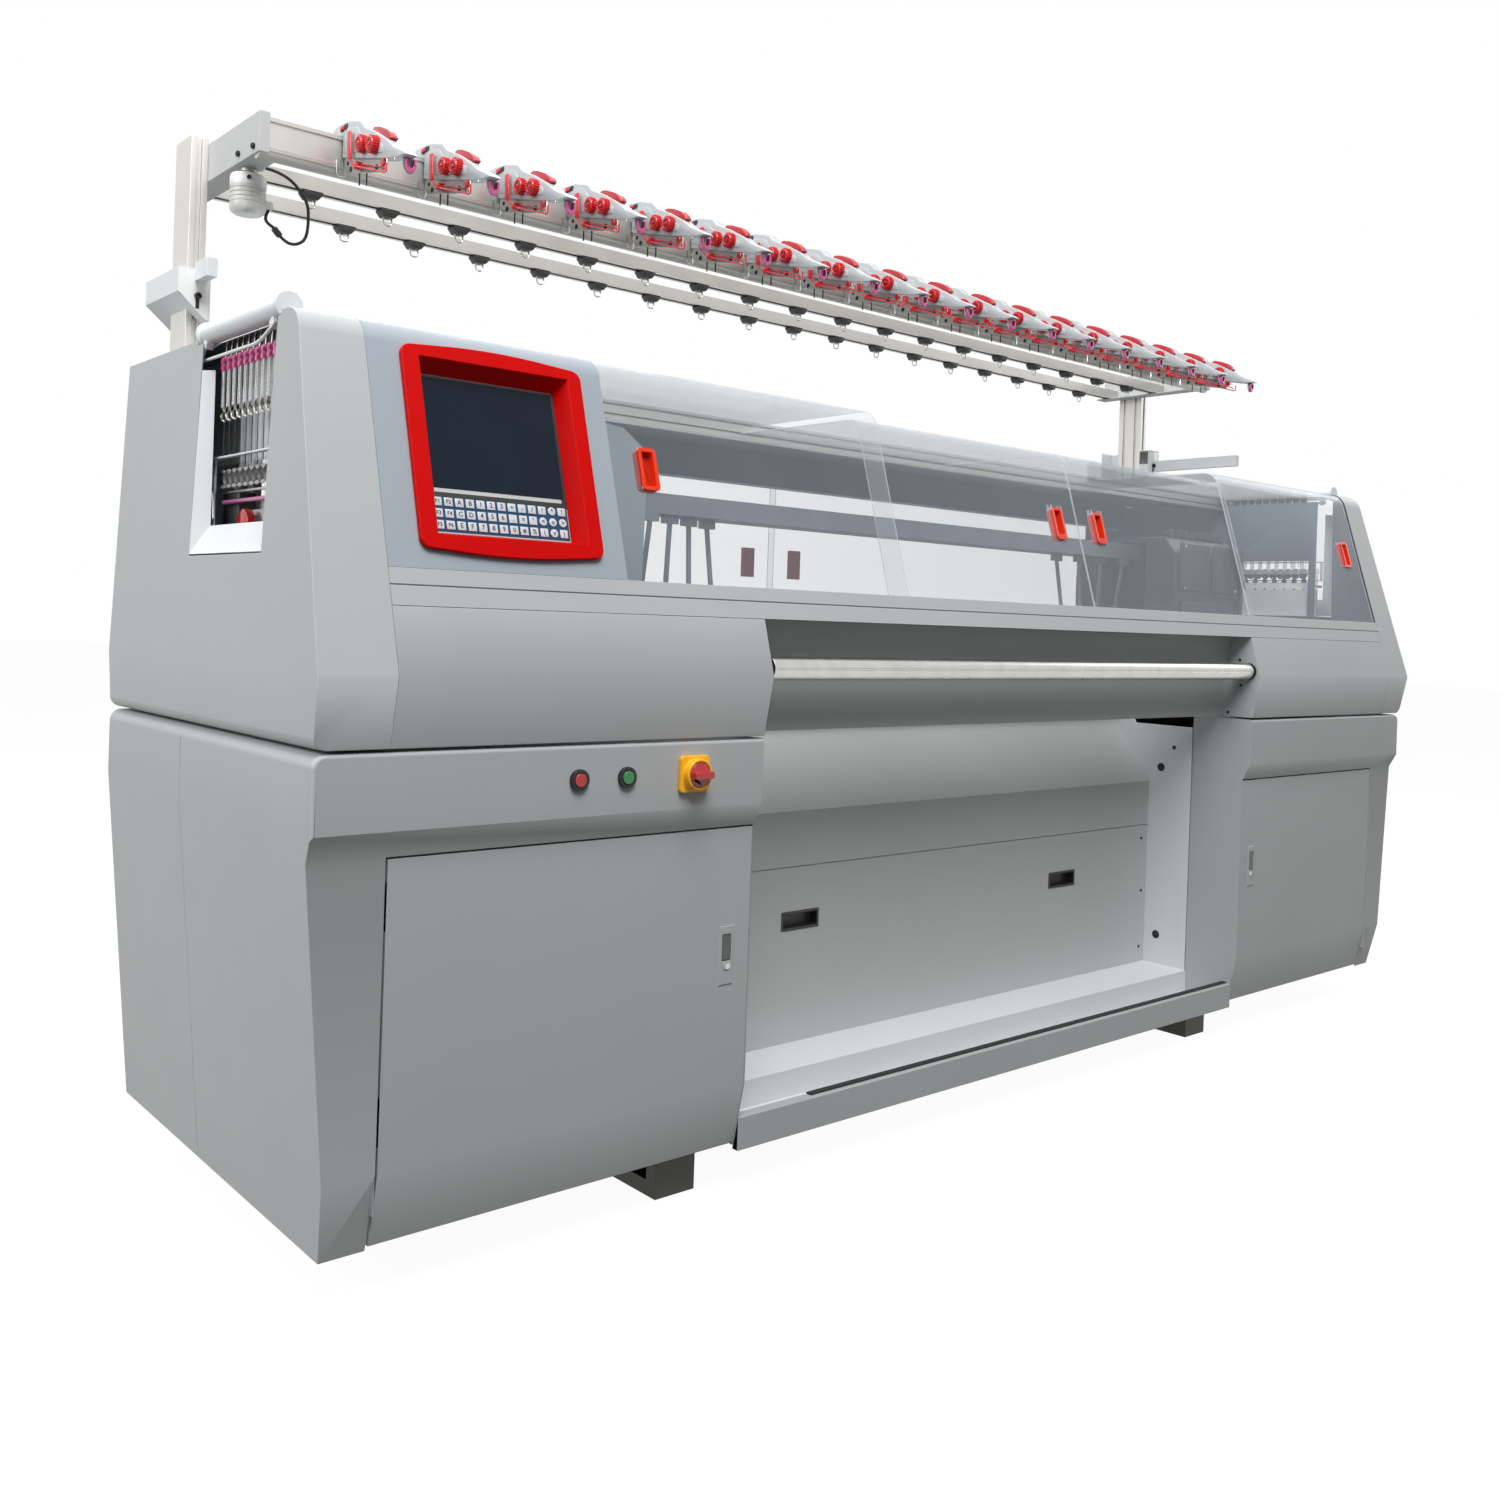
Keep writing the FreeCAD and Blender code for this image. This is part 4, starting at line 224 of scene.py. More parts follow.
def buildGlossGroup():
    # handled and wiped places are a little smoother than the rest
    inputs = {"Roughness": 0.5, "Scale": 7.0, "Amount": 0.1}
    group, entry, leave, place = newGroup("glossDrift", inputs, "Roughness")
    patches = addNoise(group, place, entry["Scale"], 5.0, 0.65)
    centred = addMath(group, "SUBTRACT", patches, 0.5)
    change = addMath(group, "MULTIPLY_ADD", centred.outputs[0], entry["Amount"], entry["Roughness"])
    feed(group, leave, {"Roughness": change.outputs[0]})
    return group


def buildGrainGroup():
    # fine height of powder coat, moulded plastic, or brushed metal when it is stretched
    group, entry, leave, place = newGroup("surfaceGrain", {"Scale": 900.0, "Stretch": (1, 1, 1)}, "Height")
    pull = addNode(group, "ShaderNodeVectorMath", {0: place, 1: entry["Stretch"]}, "MULTIPLY")
    feed(group, leave, {"Height": addNoise(group, pull.outputs["Vector"], entry["Scale"], 2.0, 0.5)})
    return group


toneDrift = buildToneGroup()
glossDrift = buildGlossGroup()
surfaceGrain = buildGrainGroup()


def linear(value):
    value = value / 255
    return value / 12.92 if value <= 0.04045 else ((value + 0.055) / 1.055) ** 2.4


def tone(colour):
    return tuple(linear(value) for value in colour) + (1,)


def addGroup(tree, group, inputs):
    made = tree.nodes.new("ShaderNodeGroup")
    made.node_tree = group
    feed(tree, made, inputs)
    return made


def makeFinish(name, colour, rough, metal=0.0, drift=(4.0, 0.04), gloss=(7.0, 0.12), grain=(900.0, 0.12, 0.0003),
        stretch=(1, 1, 1), coat=0.0, sheerAndGlare=None, shine=0.5):
    made = bpy.data.materials.new(name)
    made.use_nodes = True
    tree = made.node_tree
    colours = addGroup(tree, toneDrift, {"Colour": tone(colour), "Scale": drift[0], "Amount": drift[1]})
    patches = addGroup(tree, glossDrift, {"Roughness": rough, "Scale": gloss[0], "Amount": gloss[1]})
    shader = {"Base Color": colours.outputs["Colour"], "Roughness": patches.outputs["Roughness"], "Metallic": metal,
            "Coat Weight": coat, "Coat Roughness": 0.12, "Specular IOR Level": shine}
    if grain:
        fine = addGroup(tree, surfaceGrain, {"Scale": grain[0], "Stretch": stretch})
        bump = addNode(tree, "ShaderNodeBump", {"Height": fine.outputs["Height"], "Strength": grain[1],
                "Distance": grain[2]})
        shader["Normal"] = bump.outputs["Normal"]
    if sheerAndGlare:
        # a clear sheet shows its pale colour more where it is seen edge on: face on this is its own haze, the rise
        # edge on is a painted reflection
        facing = addNode(tree, "ShaderNodeLayerWeight", {"Blend": 0.15})
        cover = addNode(tree, "ShaderNodeMapRange", {"Value": facing.outputs["Facing"], "From Min": 0.0,
                "From Max": 1.0, "To Min": sheerAndGlare[0], "To Max": sheerAndGlare[1]})
        shader["Alpha"] = cover.outputs["Result"]
    feed(tree, tree.nodes["Principled BSDF"], shader)
    return made


powderGrain = (700, 0.10, 0.0004)      # scale, strength and depth in metres
mouldGrain = (700, 0.10, 0.0003)
brushedGrain = (420, 0.18, 0.0003)
fineGrain = (1500, 0.08, 0.0002)
lengthwise = (0.05, 1, 1)              # stretches the grain along the machine
sprayed = dict(grain=powderGrain, shine=0.18)
brushed = dict(grain=brushedGrain, stretch=lengthwise)

# colour, roughness, and what differs from the plain finish
finishValues = {
    "paint": ((172, 175, 176), 0.44, dict(drift=(2.2, 0.025), **sprayed)),
    # painted shade and painted sky reflection: the cabinet paint made darker and bluer for the sloping display panel
    "coolPaint": ((152, 160, 168), 0.44, dict(drift=(2.2, 0.025), **sprayed)),
    "innerPaint": ((188, 190, 190), 0.46, dict(drift=(2.2, 0.02), **sprayed)),
    "palePaint": ((214, 217, 219), 0.42, dict(drift=(2.2, 0.02), **sprayed)),
    # painted shade: the roof's grey paint darkened for its backlit upright strip
    "railPaint": ((98, 103, 112), 0.42, dict(drift=(9, 0.10), gloss=(16, 0.25), grain=(260, 0.25, 0.0004),
        stretch=(0.06, 1, 1))),
    "footPaint": ((84, 83, 74), 0.55, dict(drift=(6, 0.08), grain=(500, 0.25, 0.0005))),
    "bedSteel": ((128, 130, 132), 0.35, dict(metal=0.9, drift=(20, 0.10), stretch=(12, 1, 1))),
    "feederSteel": ((112, 117, 124), 0.36, dict(metal=0.6, drift=(20, 0.08), grain=(420, 0.2, 0.0003),
        stretch=lengthwise)),
    "aluminium": ((196, 194, 189), 0.36, dict(metal=0.85, drift=(8, 0.04), **brushed)),
    "postAluminium": ((208, 206, 201), 0.42, dict(metal=0.8, drift=(8, 0.04), grain=brushedGrain,
        stretch=(1, 1, 0.05))),
    "noseAluminium": ((172, 170, 165), 0.44, dict(metal=0.8, drift=(8, 0.05), **brushed)),
    "steel": ((196, 196, 193), 0.26, dict(metal=1.0, drift=(30, 0.05), grain=(600, 0.16, 0.0002),
        stretch=(0.1, 1, 1))),
    "blackSteel": ((40, 40, 42), 0.38, dict(metal=0.5, drift=(30, 0.08))),
    "rubber": ((26, 26, 27), 0.75, dict(grain=(300, 0.3, 0.0006))),
    "blackPlastic": ((26, 26, 28), 0.45, dict(grain=(900, 0.2, 0.0003))),
    "bezelRed": ((190, 5, 4), 0.42, dict(drift=(10, 0.04), grain=mouldGrain, shine=0.08)),
    "glossRed": ((176, 14, 16), 0.22, dict(drift=(14, 0.04), grain=None, coat=0.5)),
    "knobRed": ((202, 16, 28), 0.30, dict(drift=(60, 0.05), grain=(1500, 0.1, 0.0002), coat=0.2)),
    # painted shade: the knob red darkened for recesses
    "knobDark": ((132, 10, 20), 0.34, dict(drift=(60, 0.05), grain=(1500, 0.1, 0.0002))),
    "lensRed": ((172, 22, 34), 0.18, dict(drift=(60, 0.08), grain=None, coat=0.4)),
    "lockSteel": ((92, 94, 92), 0.34, dict(metal=0.55, drift=(30, 0.06), shine=0.3)),
    # milky cut edges, partly their own haze and partly a painted highlight
    "sheetEdge": ((224, 229, 232), 0.3, dict(drift=(9, 0.04), grain=None, sheerAndGlare=(0.55, 0.85))),
    # painted shade: a darker paint for sheets that stand in shadow
    "shadePaint": ((140, 148, 155), 0.48, dict(drift=(2.2, 0.02), grain=powderGrain, shine=0.2)),
    # painted shade: the paint darkened for faces inside the housings
    "insidePaint": ((104, 112, 124), 0.46, dict(drift=(2.2, 0.03), grain=powderGrain, shine=0.2)),
    "magenta": ((228, 92, 158), 0.3, dict(drift=(50, 0.08), grain=None, coat=0.4)),
    "rodPink": ((170, 92, 140), 0.3, dict(drift=(30, 0.06), grain=None, coat=0.3)),
    "unitGrey": ((180, 184, 187), 0.36, dict(drift=(30, 0.03), grain=(1200, 0.12, 0.0002))),
    "unitPlate": ((160, 161, 160), 0.34, dict(metal=0.5, drift=(30, 0.06), grain=(900, 0.15, 0.0002))),
    "whitePlastic": ((226, 227, 225), 0.34, dict(drift=(12, 0.02), grain=(1000, 0.1, 0.0002))),
    "lampFrost": ((216, 217, 214), 0.30, dict(drift=(30, 0.03), grain=None, sheerAndGlare=(0.62, 0.95))),
    "greenPlastic": ((24, 128, 62), 0.24, dict(grain=None, coat=0.4)),
    "yellowPlastic": ((248, 180, 22), 0.36, dict(grain=mouldGrain)),
    "handleOrange": ((226, 50, 14), 0.34, dict(grain=mouldGrain, shine=0.3)),
    # painted shade for the recesses of the handles
    "handleDark": ((176, 34, 8), 0.4, dict(grain=mouldGrain, shine=0.2)),
    "clearSheet": ((186, 197, 206), 0.12, dict(gloss=(20, 0.10), grain=None, sheerAndGlare=(0.03, 0.82))),
    "clearArm": ((226, 231, 236), 0.18, dict(gloss=(20, 0.10), grain=None, sheerAndGlare=(0.3, 0.8))),
    "carriageBlack": ((44, 46, 50), 0.42, dict(drift=(9, 0.08))),
    "screenGlass": ((17, 28, 40), 0.16, dict(drift=(5, 0.10), gloss=(12, 0.10), grain=None, shine=0.14)),
    "screenRim": ((186, 190, 188), 0.32, dict(metal=0.4, drift=(20, 0.03))),
    "keyBlue": ((24, 66, 100), 0.34, dict(drift=(20, 0.04), grain=fineGrain, shine=0.3)),
    "keyPale": ((196, 202, 206), 0.32, dict(drift=(60, 0.02), grain=fineGrain)),
    "keyInk": ((24, 30, 44), 0.4, dict(drift=(40, 0.05), grain=None)),
    # painted shade: near black for the inside of holes and slots
    "void": ((14, 14, 15), 0.8, dict(drift=(20, 0.1), grain=(300, 0.2, 0.0003))),
}
finish = {name: makeFinish(name, colour, rough, **rest) for name, (colour, rough, rest) in finishValues.items()}
print("finishes made")


def named(name):
    # the piece that was just made, under its own name
    piece = bpy.context.object
    piece.name = name
    return piece


def settle():
    bpy.ops.object.transform_apply(location=True, rotation=True, scale=True)


def only(piece):
    bpy.ops.object.select_all(action="DESELECT")
    piece.select_set(True)
    bpy.context.view_layer.objects.active = piece


def edit(piece, everything=True):
    only(piece)
    bpy.ops.object.mode_set(mode="EDIT")
    bpy.ops.mesh.select_mode(type="FACE")
    bpy.ops.mesh.select_all(action="SELECT" if everything else "DESELECT")


def leave():
    bpy.ops.object.mode_set(mode="OBJECT")


def pickFaces(piece, test):
    # select the faces whose middle and normal pass the test, and stay in edit mode
    edit(piece, everything=False)
    leave()
    for polygon in piece.data.polygons:
        polygon.select = test(polygon.center, polygon.normal)
    bpy.ops.object.mode_set(mode="EDIT")


def applied(piece, kind, **settings):
    only(piece)
    modifier = piece.modifiers.new(kind.lower(), kind)
    for key, value in settings.items():
        setattr(modifier, key, value)
    bpy.ops.object.modifier_apply(modifier=modifier.name)


def soften(piece, width, segments=2, angle=30, clamp=True):
    # rounded edges that keep their flat faces flat
    applied(piece, "BEVEL", width=width / 1000, segments=segments, limit_method="ANGLE",
            angle_limit=math.radians(angle), use_clamp_overlap=clamp)


def smooth(piece, angle=35, weighted=True):
    only(piece)
    bpy.ops.object.shade_smooth_by_angle(angle=math.radians(angle))
    if weighted:
        applied(piece, "WEIGHTED_NORMAL", keep_sharp=True, weight=60)


def coat(piece, *names):
    piece.data.materials.clear()
    for name in names:
        piece.data.materials.append(finish[name])


def dressed(piece, names, width=0.0, segments=2, angle=0):
    # coated, its edges rounded by so many millimetres, and shaded smooth up to the angle
    coat(piece, *names.split())
    if width:
        soften(piece, width, segments)
    if angle:
        smooth(piece, angle)
    return piece


def shaded(pieces, angle=40):
    for piece in pieces:
        smooth(piece, angle, weighted=False)


def block(name, low, high):
    # a box between two corners
    bottom, top = spot(*low), spot(*high)
    bpy.ops.mesh.primitive_cube_add(size=1, location=(bottom + top) / 2)
    piece = named(name)
    piece.scale = [abs(top[i] - bottom[i]) for i in range(3)]
    settle()
    return piece


def faceOut():
    # every face looks outward
    bpy.ops.mesh.select_all(action="SELECT")
    bpy.ops.mesh.normals_make_consistent(inside=False)
    leave()


def carried(piece, middle, degrees=0, axis="Z"):
    # turned on its own middle, then carried from the origin to its place
    turn = Matrix.Rotation(math.radians(degrees), 4, axis)
    piece.data.transform(Matrix.Translation(spot(*middle)) @ turn)


def plate(name, outline, plane, low, high):
    # a drawn outline, pushed out between two depths along the third axis
    across = {"YZ": 0, "XZ": 1, "XY": 2}[plane]
    bpy.ops.mesh.primitive_circle_add(vertices=len(outline), fill_type="NGON")
    piece = named(name)
    for vertex, pair in zip(piece.data.vertices, outline):
        pair = list(pair)
        pair.insert(across, low)
        vertex.co = spot(*pair)
    edit(piece)
    push = [0, 0, 0]
    push[across] = (high - low) / 1000
    bpy.ops.mesh.extrude_region_move(TRANSFORM_OT_translate={"value": push})
    faceOut()
    return piece


def drum(name, middle, radius, low, high, axis, sides=24):
    # a round bar between two places along its axis
    along = "XYZ".index(axis)
    bottom, top = list(middle), list(middle)
    bottom.insert(along, low)
    top.insert(along, high)
    bottom, top = spot(*bottom), spot(*top)
    turn = {"X": (0, math.pi / 2, 0), "Y": (math.pi / 2, 0, 0), "Z": (0, 0, 0)}[axis]
    bpy.ops.mesh.primitive_cylinder_add(vertices=sides, radius=radius / 1000, depth=(top - bottom).length,
            location=(bottom + top) / 2, rotation=turn)
    piece = named(name)
    settle()
    return piece


def turned(name, profile, middle=None, axis="Z", steps=32):
    # a half profile of (radius, along) pairs, from axis to axis, spun round
    bpy.ops.mesh.primitive_circle_add(vertices=len(profile))
    piece = named(name)
    for vertex, (radius, along) in zip(piece.data.vertices, profile):
        vertex.co = (radius / 1000, 0, along / 1000)
    edit(piece, everything=False)
    bpy.ops.mesh.select_mode(type="EDGE")
    leave()
    for edge in piece.data.edges:
        edge.select = set(edge.vertices) == {0, len(profile) - 1}
    bpy.ops.object.mode_set(mode="EDIT")
    bpy.ops.mesh.delete(type="EDGE")
    bpy.ops.mesh.select_all(action="SELECT")
    bpy.ops.mesh.spin(steps=steps, angle=math.pi * 2, center=(0, 0, 0), axis=(0, 0, 1))
    bpy.ops.mesh.select_all(action="SELECT")
    bpy.ops.mesh.remove_doubles(threshold=0.000002)
    faceOut()
    carried(piece, middle or origin, *{"X": (90, "Y"), "Y": (-90, "X"), "Z": (0, "Z")}[axis])
    return piece


def drawThrough(kind, points, thickness, resolution):
    # the curve just made, drawn anew as a tube through the points
    piece = bpy.context.object
    piece.location = (0, 0, 0)
    curve = piece.data
    curve.splines.clear()
    run = curve.splines.new(kind)
    run.points.add(len(points) - 1)
    for point, place in zip(run.points, points):
        point.co = (*spot(*place), 1)
    curve.dimensions = "3D"
    curve.bevel_depth = thickness / 2000
    curve.bevel_resolution = resolution
    curve.use_fill_caps = True
    return run


def wire(name, points, thickness, resolution=2):
    # a bent wire
    bpy.ops.curve.primitive_bezier_curve_add()
    piece = named(name)
    drawThrough("POLY", points, thickness, resolution - 1)
    only(piece)
    bpy.ops.object.convert(target="MESH")
    piece = bpy.context.object
    bpy.ops.object.shade_smooth_by_angle(angle=math.radians(50))
    return piece


def copyOf(piece, x=0.0, y=0.0, z=0.0, name=None):
    # another one with its own mesh, moved by so many millimetres
    other = piece.copy()
    other.data = piece.data.copy()
    other.data.transform(Matrix.Translation((x / 1000, y / 1000, z / 1000)))
    if name:
        other.name = name
    bpy.context.scene.collection.objects.link(other)
    return other


def joined(name, pieces):
    bpy.ops.object.select_all(action="DESELECT")
    for piece in pieces:
        piece.select_set(True)
    bpy.context.view_layer.objects.active = pieces[0]
    if len(pieces) > 1:
        bpy.ops.object.join()
    made = bpy.context.view_layer.objects.active
    made.name = name
    return made


def bodyOf(name):
    return body_of(nodes[name])[0]


def rideWith(piece, name):
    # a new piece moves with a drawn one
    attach(piece, bodyOf(name))


cable = {
    "thick": 5,
    "depth": 612,
    "loop": [(-1301, 1601.5), (-1265, 1601.5), (-1227, 1566.5), (-1223.6, 1533.5), (-1227, 1501), (-1243, 1489),
        (-1259, 1488.6), (-1269.6, 1496.6)],
    "tail": [(-1282.4, 1509.4), (-1293, 1514), (-1296.5, 1524), (-1291, 1535)],
}


def addCord(name, points):
    bpy.ops.curve.primitive_nurbs_path_add()
    piece = named(name)
    run = drawThrough("NURBS", [(x, cable["depth"], z) for x, z in points], cable["thick"], 5)
    run.order_u = 3
    run.use_endpoint_u = True
    run.resolution_u = 12
    piece.data.materials.append(finish["rubber"])
    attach(piece, "frame")
    return piece


def addLampCable():
    loop = addCord("lampCable", cable["loop"])
    tail = addCord("lampTail", cable["tail"])
    # the in-line plug, ribbed at both ends, on the slant between the two cords
    ribs = [(0, -9), (3.2, -9), (3.6, -7.6), (5.3, -7.2), (5.5, -5.6), (4.9, -5.2), (4.9, -4.4), (5.5, -4), (5.5, 1),
            (4.9, 1.4), (4.9, 2), (5.5, 2.4), (5.4, 6.6), (4.2, 7.4), (3.2, 9), (0, 9)]
    plug = dressed(turned("lampPlug", ribs, steps=24), "blackPlastic")
    carried(plug, (-1276, cable["depth"], 1503), -45, "Y")
    shaded([plug])
    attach(plug, "frame")
    for piece, node in ((loop, "lamp_cable"), (tail, "lamp_tail"), (plug, "cable_connector")):
        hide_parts(node)


addLampCable()
print("lamp cable")


def softNode(name, width, *finishes, parts=None):
    # a copy of a drawn piece with its edges rounded; parts(place, normal) gives a face's finish
    piece = bpy.data.objects.new(name + "_made", nodes[name].data.copy())
    bpy.context.scene.collection.objects.link(piece)
    edit(piece)
    bpy.ops.mesh.remove_doubles(threshold=0.00001)
    bpy.ops.mesh.dissolve_limited(angle_limit=math.radians(0.6))
    leave()
    coat(piece, *finishes)
    for polygon in piece.data.polygons:
        polygon.material_index = parts(polygon.center, polygon.normal) if parts else 0
    soften(piece, width, clamp=False)
    smooth(piece, 35)
    rideWith(piece, name)
    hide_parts(name)


def machinePlace(place):
    # millimetres from the machine's middle, its front band and the floor
    return abs(place.x) * 1000, (place.y - frontBand) * 1000, place.z * 1000


softNodes = [
    ("left_cabinet", 0.8, "paint"), ("right_cabinet", 0.8, "paint"),
    # the display panel takes the darker, bluer paint as painted shade and painted sky reflection
    ("left_front_panel", 1.0, "paint"), ("display_panel", 0.8, "coolPaint"),
    ("upper_bay_cover", 0.6, "innerPaint"), ("lower_bay_cover", 0.6, "innerPaint"),
    ("bay_tray", 0.7, "palePaint"),
    ("base_beam", 1.0, "paint"), ("recess_guard", 0.8, "paint"),
    ("cover_track", 0.6, "paint"), ("back_panels", 0.5, "paint"),
    ("display_bezel", 1.6, "bezelRed"), ("rack_end_plates", 0.5, "innerPaint"),
    ("post_brackets", 0.8, "palePaint"), ("support_arms", 0.8, "palePaint"),
    ("rack_posts", 0.6, "postAluminium"), ("guide_rails", 0.4, "aluminium"),
    ("base_frame", 0.8, "footPaint"), ("skids", 1.0, "footPaint"),
    ("switch_base", 1.4, "yellowPlastic"), ("switch_knob", 1.2, "glossRed"),
    ("red_button", 1.2, "glossRed"), ("green_button", 1.2, "greenPlastic"),
    ("button_bezels", 0.8, "blackSteel"), ("operating_bar", 0.8, "steel"),
    ("takedown_roller", 0.8, "rubber"), ("bar_sockets", 0.8, "blackSteel"),
    ("finger_pulls", 0.8, "blackPlastic"), ("rear_track", 0.5, "aluminium"),
    ("left_lock_paddle", 0.6, "lockSteel"), ("right_lock_paddle", 0.6, "lockSteel"),
    ("side_guides", 0.8, "palePaint"), ("beam_strip", 0.5, "rubber"),
    ("carriage", 3.0, "carriageBlack"), ("yarn_rails", 0.5, "feederSteel"),
]
for name, width, material in softNodes:
    softNode(name, width, material)

lock = {"across": 773, "half": 12.5, "low": 338, "high": 434, "behind": 18.5}


def doorParts(place, normal):
    # the lock's dish is steel
    across, depth, height = machinePlace(place)
    near = abs(across - lock["across"]) < lock["half"] and lock["low"] < height < lock["high"]
    return 1 if near and depth > lock["behind"] else 0


for name in ("left_door", "right_door"):
    softNode(name, 1.0, "paint", "lockSteel", parts=doorParts)


bayPlugs = {"centres": ((226, 591), (225, 197), (193, 640)), "radius": 11, "inside": 725.2}


def plugParts(place, normal):
    # the plugged holes are black
    across, depth, height = machinePlace(place)
    near = [math.hypot(depth - y, height - z) < bayPlugs["radius"] for y, z in bayPlugs["centres"]]
    return 1 if any(near) and across < bayPlugs["inside"] else 0


def coverParts(place, normal):
    # the cut edges of a clear sheet are milky, and painted whiter as a highlight
    return 1 if abs(normal.x) > 0.9 else 0


rearHandles = {"middles": (-1158, -89, 41, 1158), "half": 17.5, "low": 1000, "high": 1070}


def rearCoverParts(place, normal):
    # the handles are orange
    one = rearHandles
    near = any(abs(place.x * 1000 - middle) < one["half"] for middle in one["middles"])
    return 2 if near and one["low"] < place.z * 1000 < one["high"] else coverParts(place, normal)


# the housing's end sheet leans in, above and below its widest line
housing = {"widest": 1455, "widestAt": 816, "leanAbove": 18 / 469, "leanBelow": 0.06, "sheet": 1.2, "roof": 1240,
        "floor": 905}


def housingParts(place, normal):
    # inside the upper housing the sheet is painted darker, as painted shade
    one = housing
    across, _, height = machinePlace(place)
    above = height - one["widestAt"]
    skin = one["widest"] - abs(above) * one["leanAbove" if above > 0 else "leanBelow"]
    inward = abs(normal.x) > 0.5 and (normal.x > 0) == (place.x < 0)
    inside = (across < skin - one["sheet"] and inward) or (height > one["roof"] and normal.z < -0.5)
    return 1 if inside and height > one["floor"] else 0


roofStrip = {"low": 1.205, "high": 1.289}
noseTop = 1.602


def roofParts(place, normal):
    # the roof's upright strip behind the feeder rails is painted darker, as painted shade on the same grey paint
    return 1 if normal.y < -0.9 and roofStrip["low"] < place.z < roofStrip["high"] else 0


def railParts(place, normal):
    # below the nose's top the rail takes the darker aluminium
    return 1 if place.z < noseTop else 0


for name in ("left_housing", "right_housing"):
    softNode(name, 1.2, "paint", "insidePaint", parts=housingParts)
softNode("bay_side_plates", 0.6, "palePaint", "blackPlastic", parts=plugParts)
for number in (1, 2, 3, 4):
    softNode("front_cover_%d" % number, 0.5, "clearSheet", "sheetEdge", parts=coverParts)
for name in ("rear_cover_left", "rear_cover_right"):
    softNode(name, 0.5, "clearSheet", "sheetEdge", "handleOrange", parts=rearCoverParts)
softNode("rear_roof", 0.8, "paint", "railPaint", parts=roofParts)
softNode("rack_rail", 0.5, "aluminium", "noseAluminium", parts=railParts)
print("panels and rails")

# drawn pieces that only take a finish
for name, material in (("cabinet_equipment", "footPaint"), ("needle_beds", "bedSteel"),
        ("control_panel", "blackPlastic"), ("side_arms", "clearArm")):
    coat(nodes[name], material)

tensionUnit = {
    "first": -1209,            # side plate of the first unit
    "pitch": 141.8,
    "count": 18,
    "railFront": 514,
    "railTop": 1651,
    "caseShape": [(-42, 0.4), (-42, 12), (-36, 18), (-27, 20.4), (-7, 21.2), (25, 18.8), (50, 12), (62, 9), (70, 2),
        (78, -5), (116, -21), (154, -41), (170, -52), (180, -59), (212, -73), (222, -79.5), (192, -78.6),
        (151, -70.6), (74, -52.6), (0.3, -35), (0.3, 0.4)],
    "panelShape": [(6, 8), (24, 9), (44, 5), (58, -1), (66, -12), (112, -30), (146, -48), (146, -60), (74, -44),
        (6, -28)],
    "lensShape": [(92, -12), (98, -8), (104, -8), (119, -12), (132, -17), (143, -22), (153, -30), (160, -39),
        (150, -42), (110, -25)],
    "sidePlateShape": [(0.4, -31), (0.4, -50), (6, -57), (14, -62), (94, -78.6), (141, -87.6), (141, -66), (74, -49)],
    "knobs": [(84, -34), (123, -44)],
    "knobRadius": 14,
    "knobLength": 11,
    "teeth": 20,
    "toothDepth": 1.5,
    "dish": (3.4, 7.4),        # radii of the wheel face's ring that is painted darker as shade in its dish
    "flapShape": [(2, -74), (2, -90), (5, -97), (10, -101.5), (17, -101.5), (22, -97), (25, -90), (25, -74)],
    "leverShape": [(34, -4), (36, -44), (42, -50), (50, -48), (48, -38), (46, -4)],
    "eyeletShape": [(5, -80), (5, -91), (7, -97), (11, -100.6), (16, -100.6), (20, -97), (22, -91), (22, -80),
        (17.4, -80), (17.4, -90), (15.5, -93.6), (11.5, -93.6), (9.6, -90), (9.6, -80)],
    "tipLoop": [(-1.5, 157, -81), (-1.5, 157, -60), (-1.5, 183, -60), (-1.5, 183, -79)],
    "outerWire": [(-10.6, 42, -30), (-10.6, 44, -46), (-10.6, 58, -62), (-10.6, 86, -71), (-10.6, 169, -97.4),
        (-10.6, 174.4, -96.4), (-10.6, 174.4, -84)],
    "innerWire": [(-4.5, 62, -61), (-4.5, 90, -66), (-4.5, 158, -87), (-10, 166, -92)],
    "crossWire": [(-10.6, 60, -60), (2, 62, -57)],
    "wheelFace": [(0, -2.6), (2.8, -2.6), (3.4, -1.0), (7.4, -1.0), (8.6, -2.2), (10.6, -1.8), (11.6, 0.4), (0, 0.4)],
}


def unitPoint(x, forward, above):
    return (x, tensionUnit["railFront"] - forward, tensionUnit["railTop"] + above)


def unitSlab(name, left, right):
    # an outline of the unit's side, between two places beside its side plate
    one = tensionUnit
    outline = [unitPoint(0, *pair)[1:] for pair in one[name + "Shape"]]
    return plate(name, outline, "YZ", one["first"] + left, one["first"] + right)


def unitTip(name, far, near):
    # an outline across the unit's tip
    one = tensionUnit
    outline = [(one["first"] + x, one["railTop"] + z) for x, z in one[name + "Shape"]]
    return plate(name, outline, "XZ", one["railFront"] - far, one["railFront"] - near)


def unitWire(name, thickness, resolution=3):
    path = [unitPoint(tensionUnit["first"] + x, forward, above) for x, forward, above in tensionUnit[name]]
    return wire(name, path, thickness, resolution)


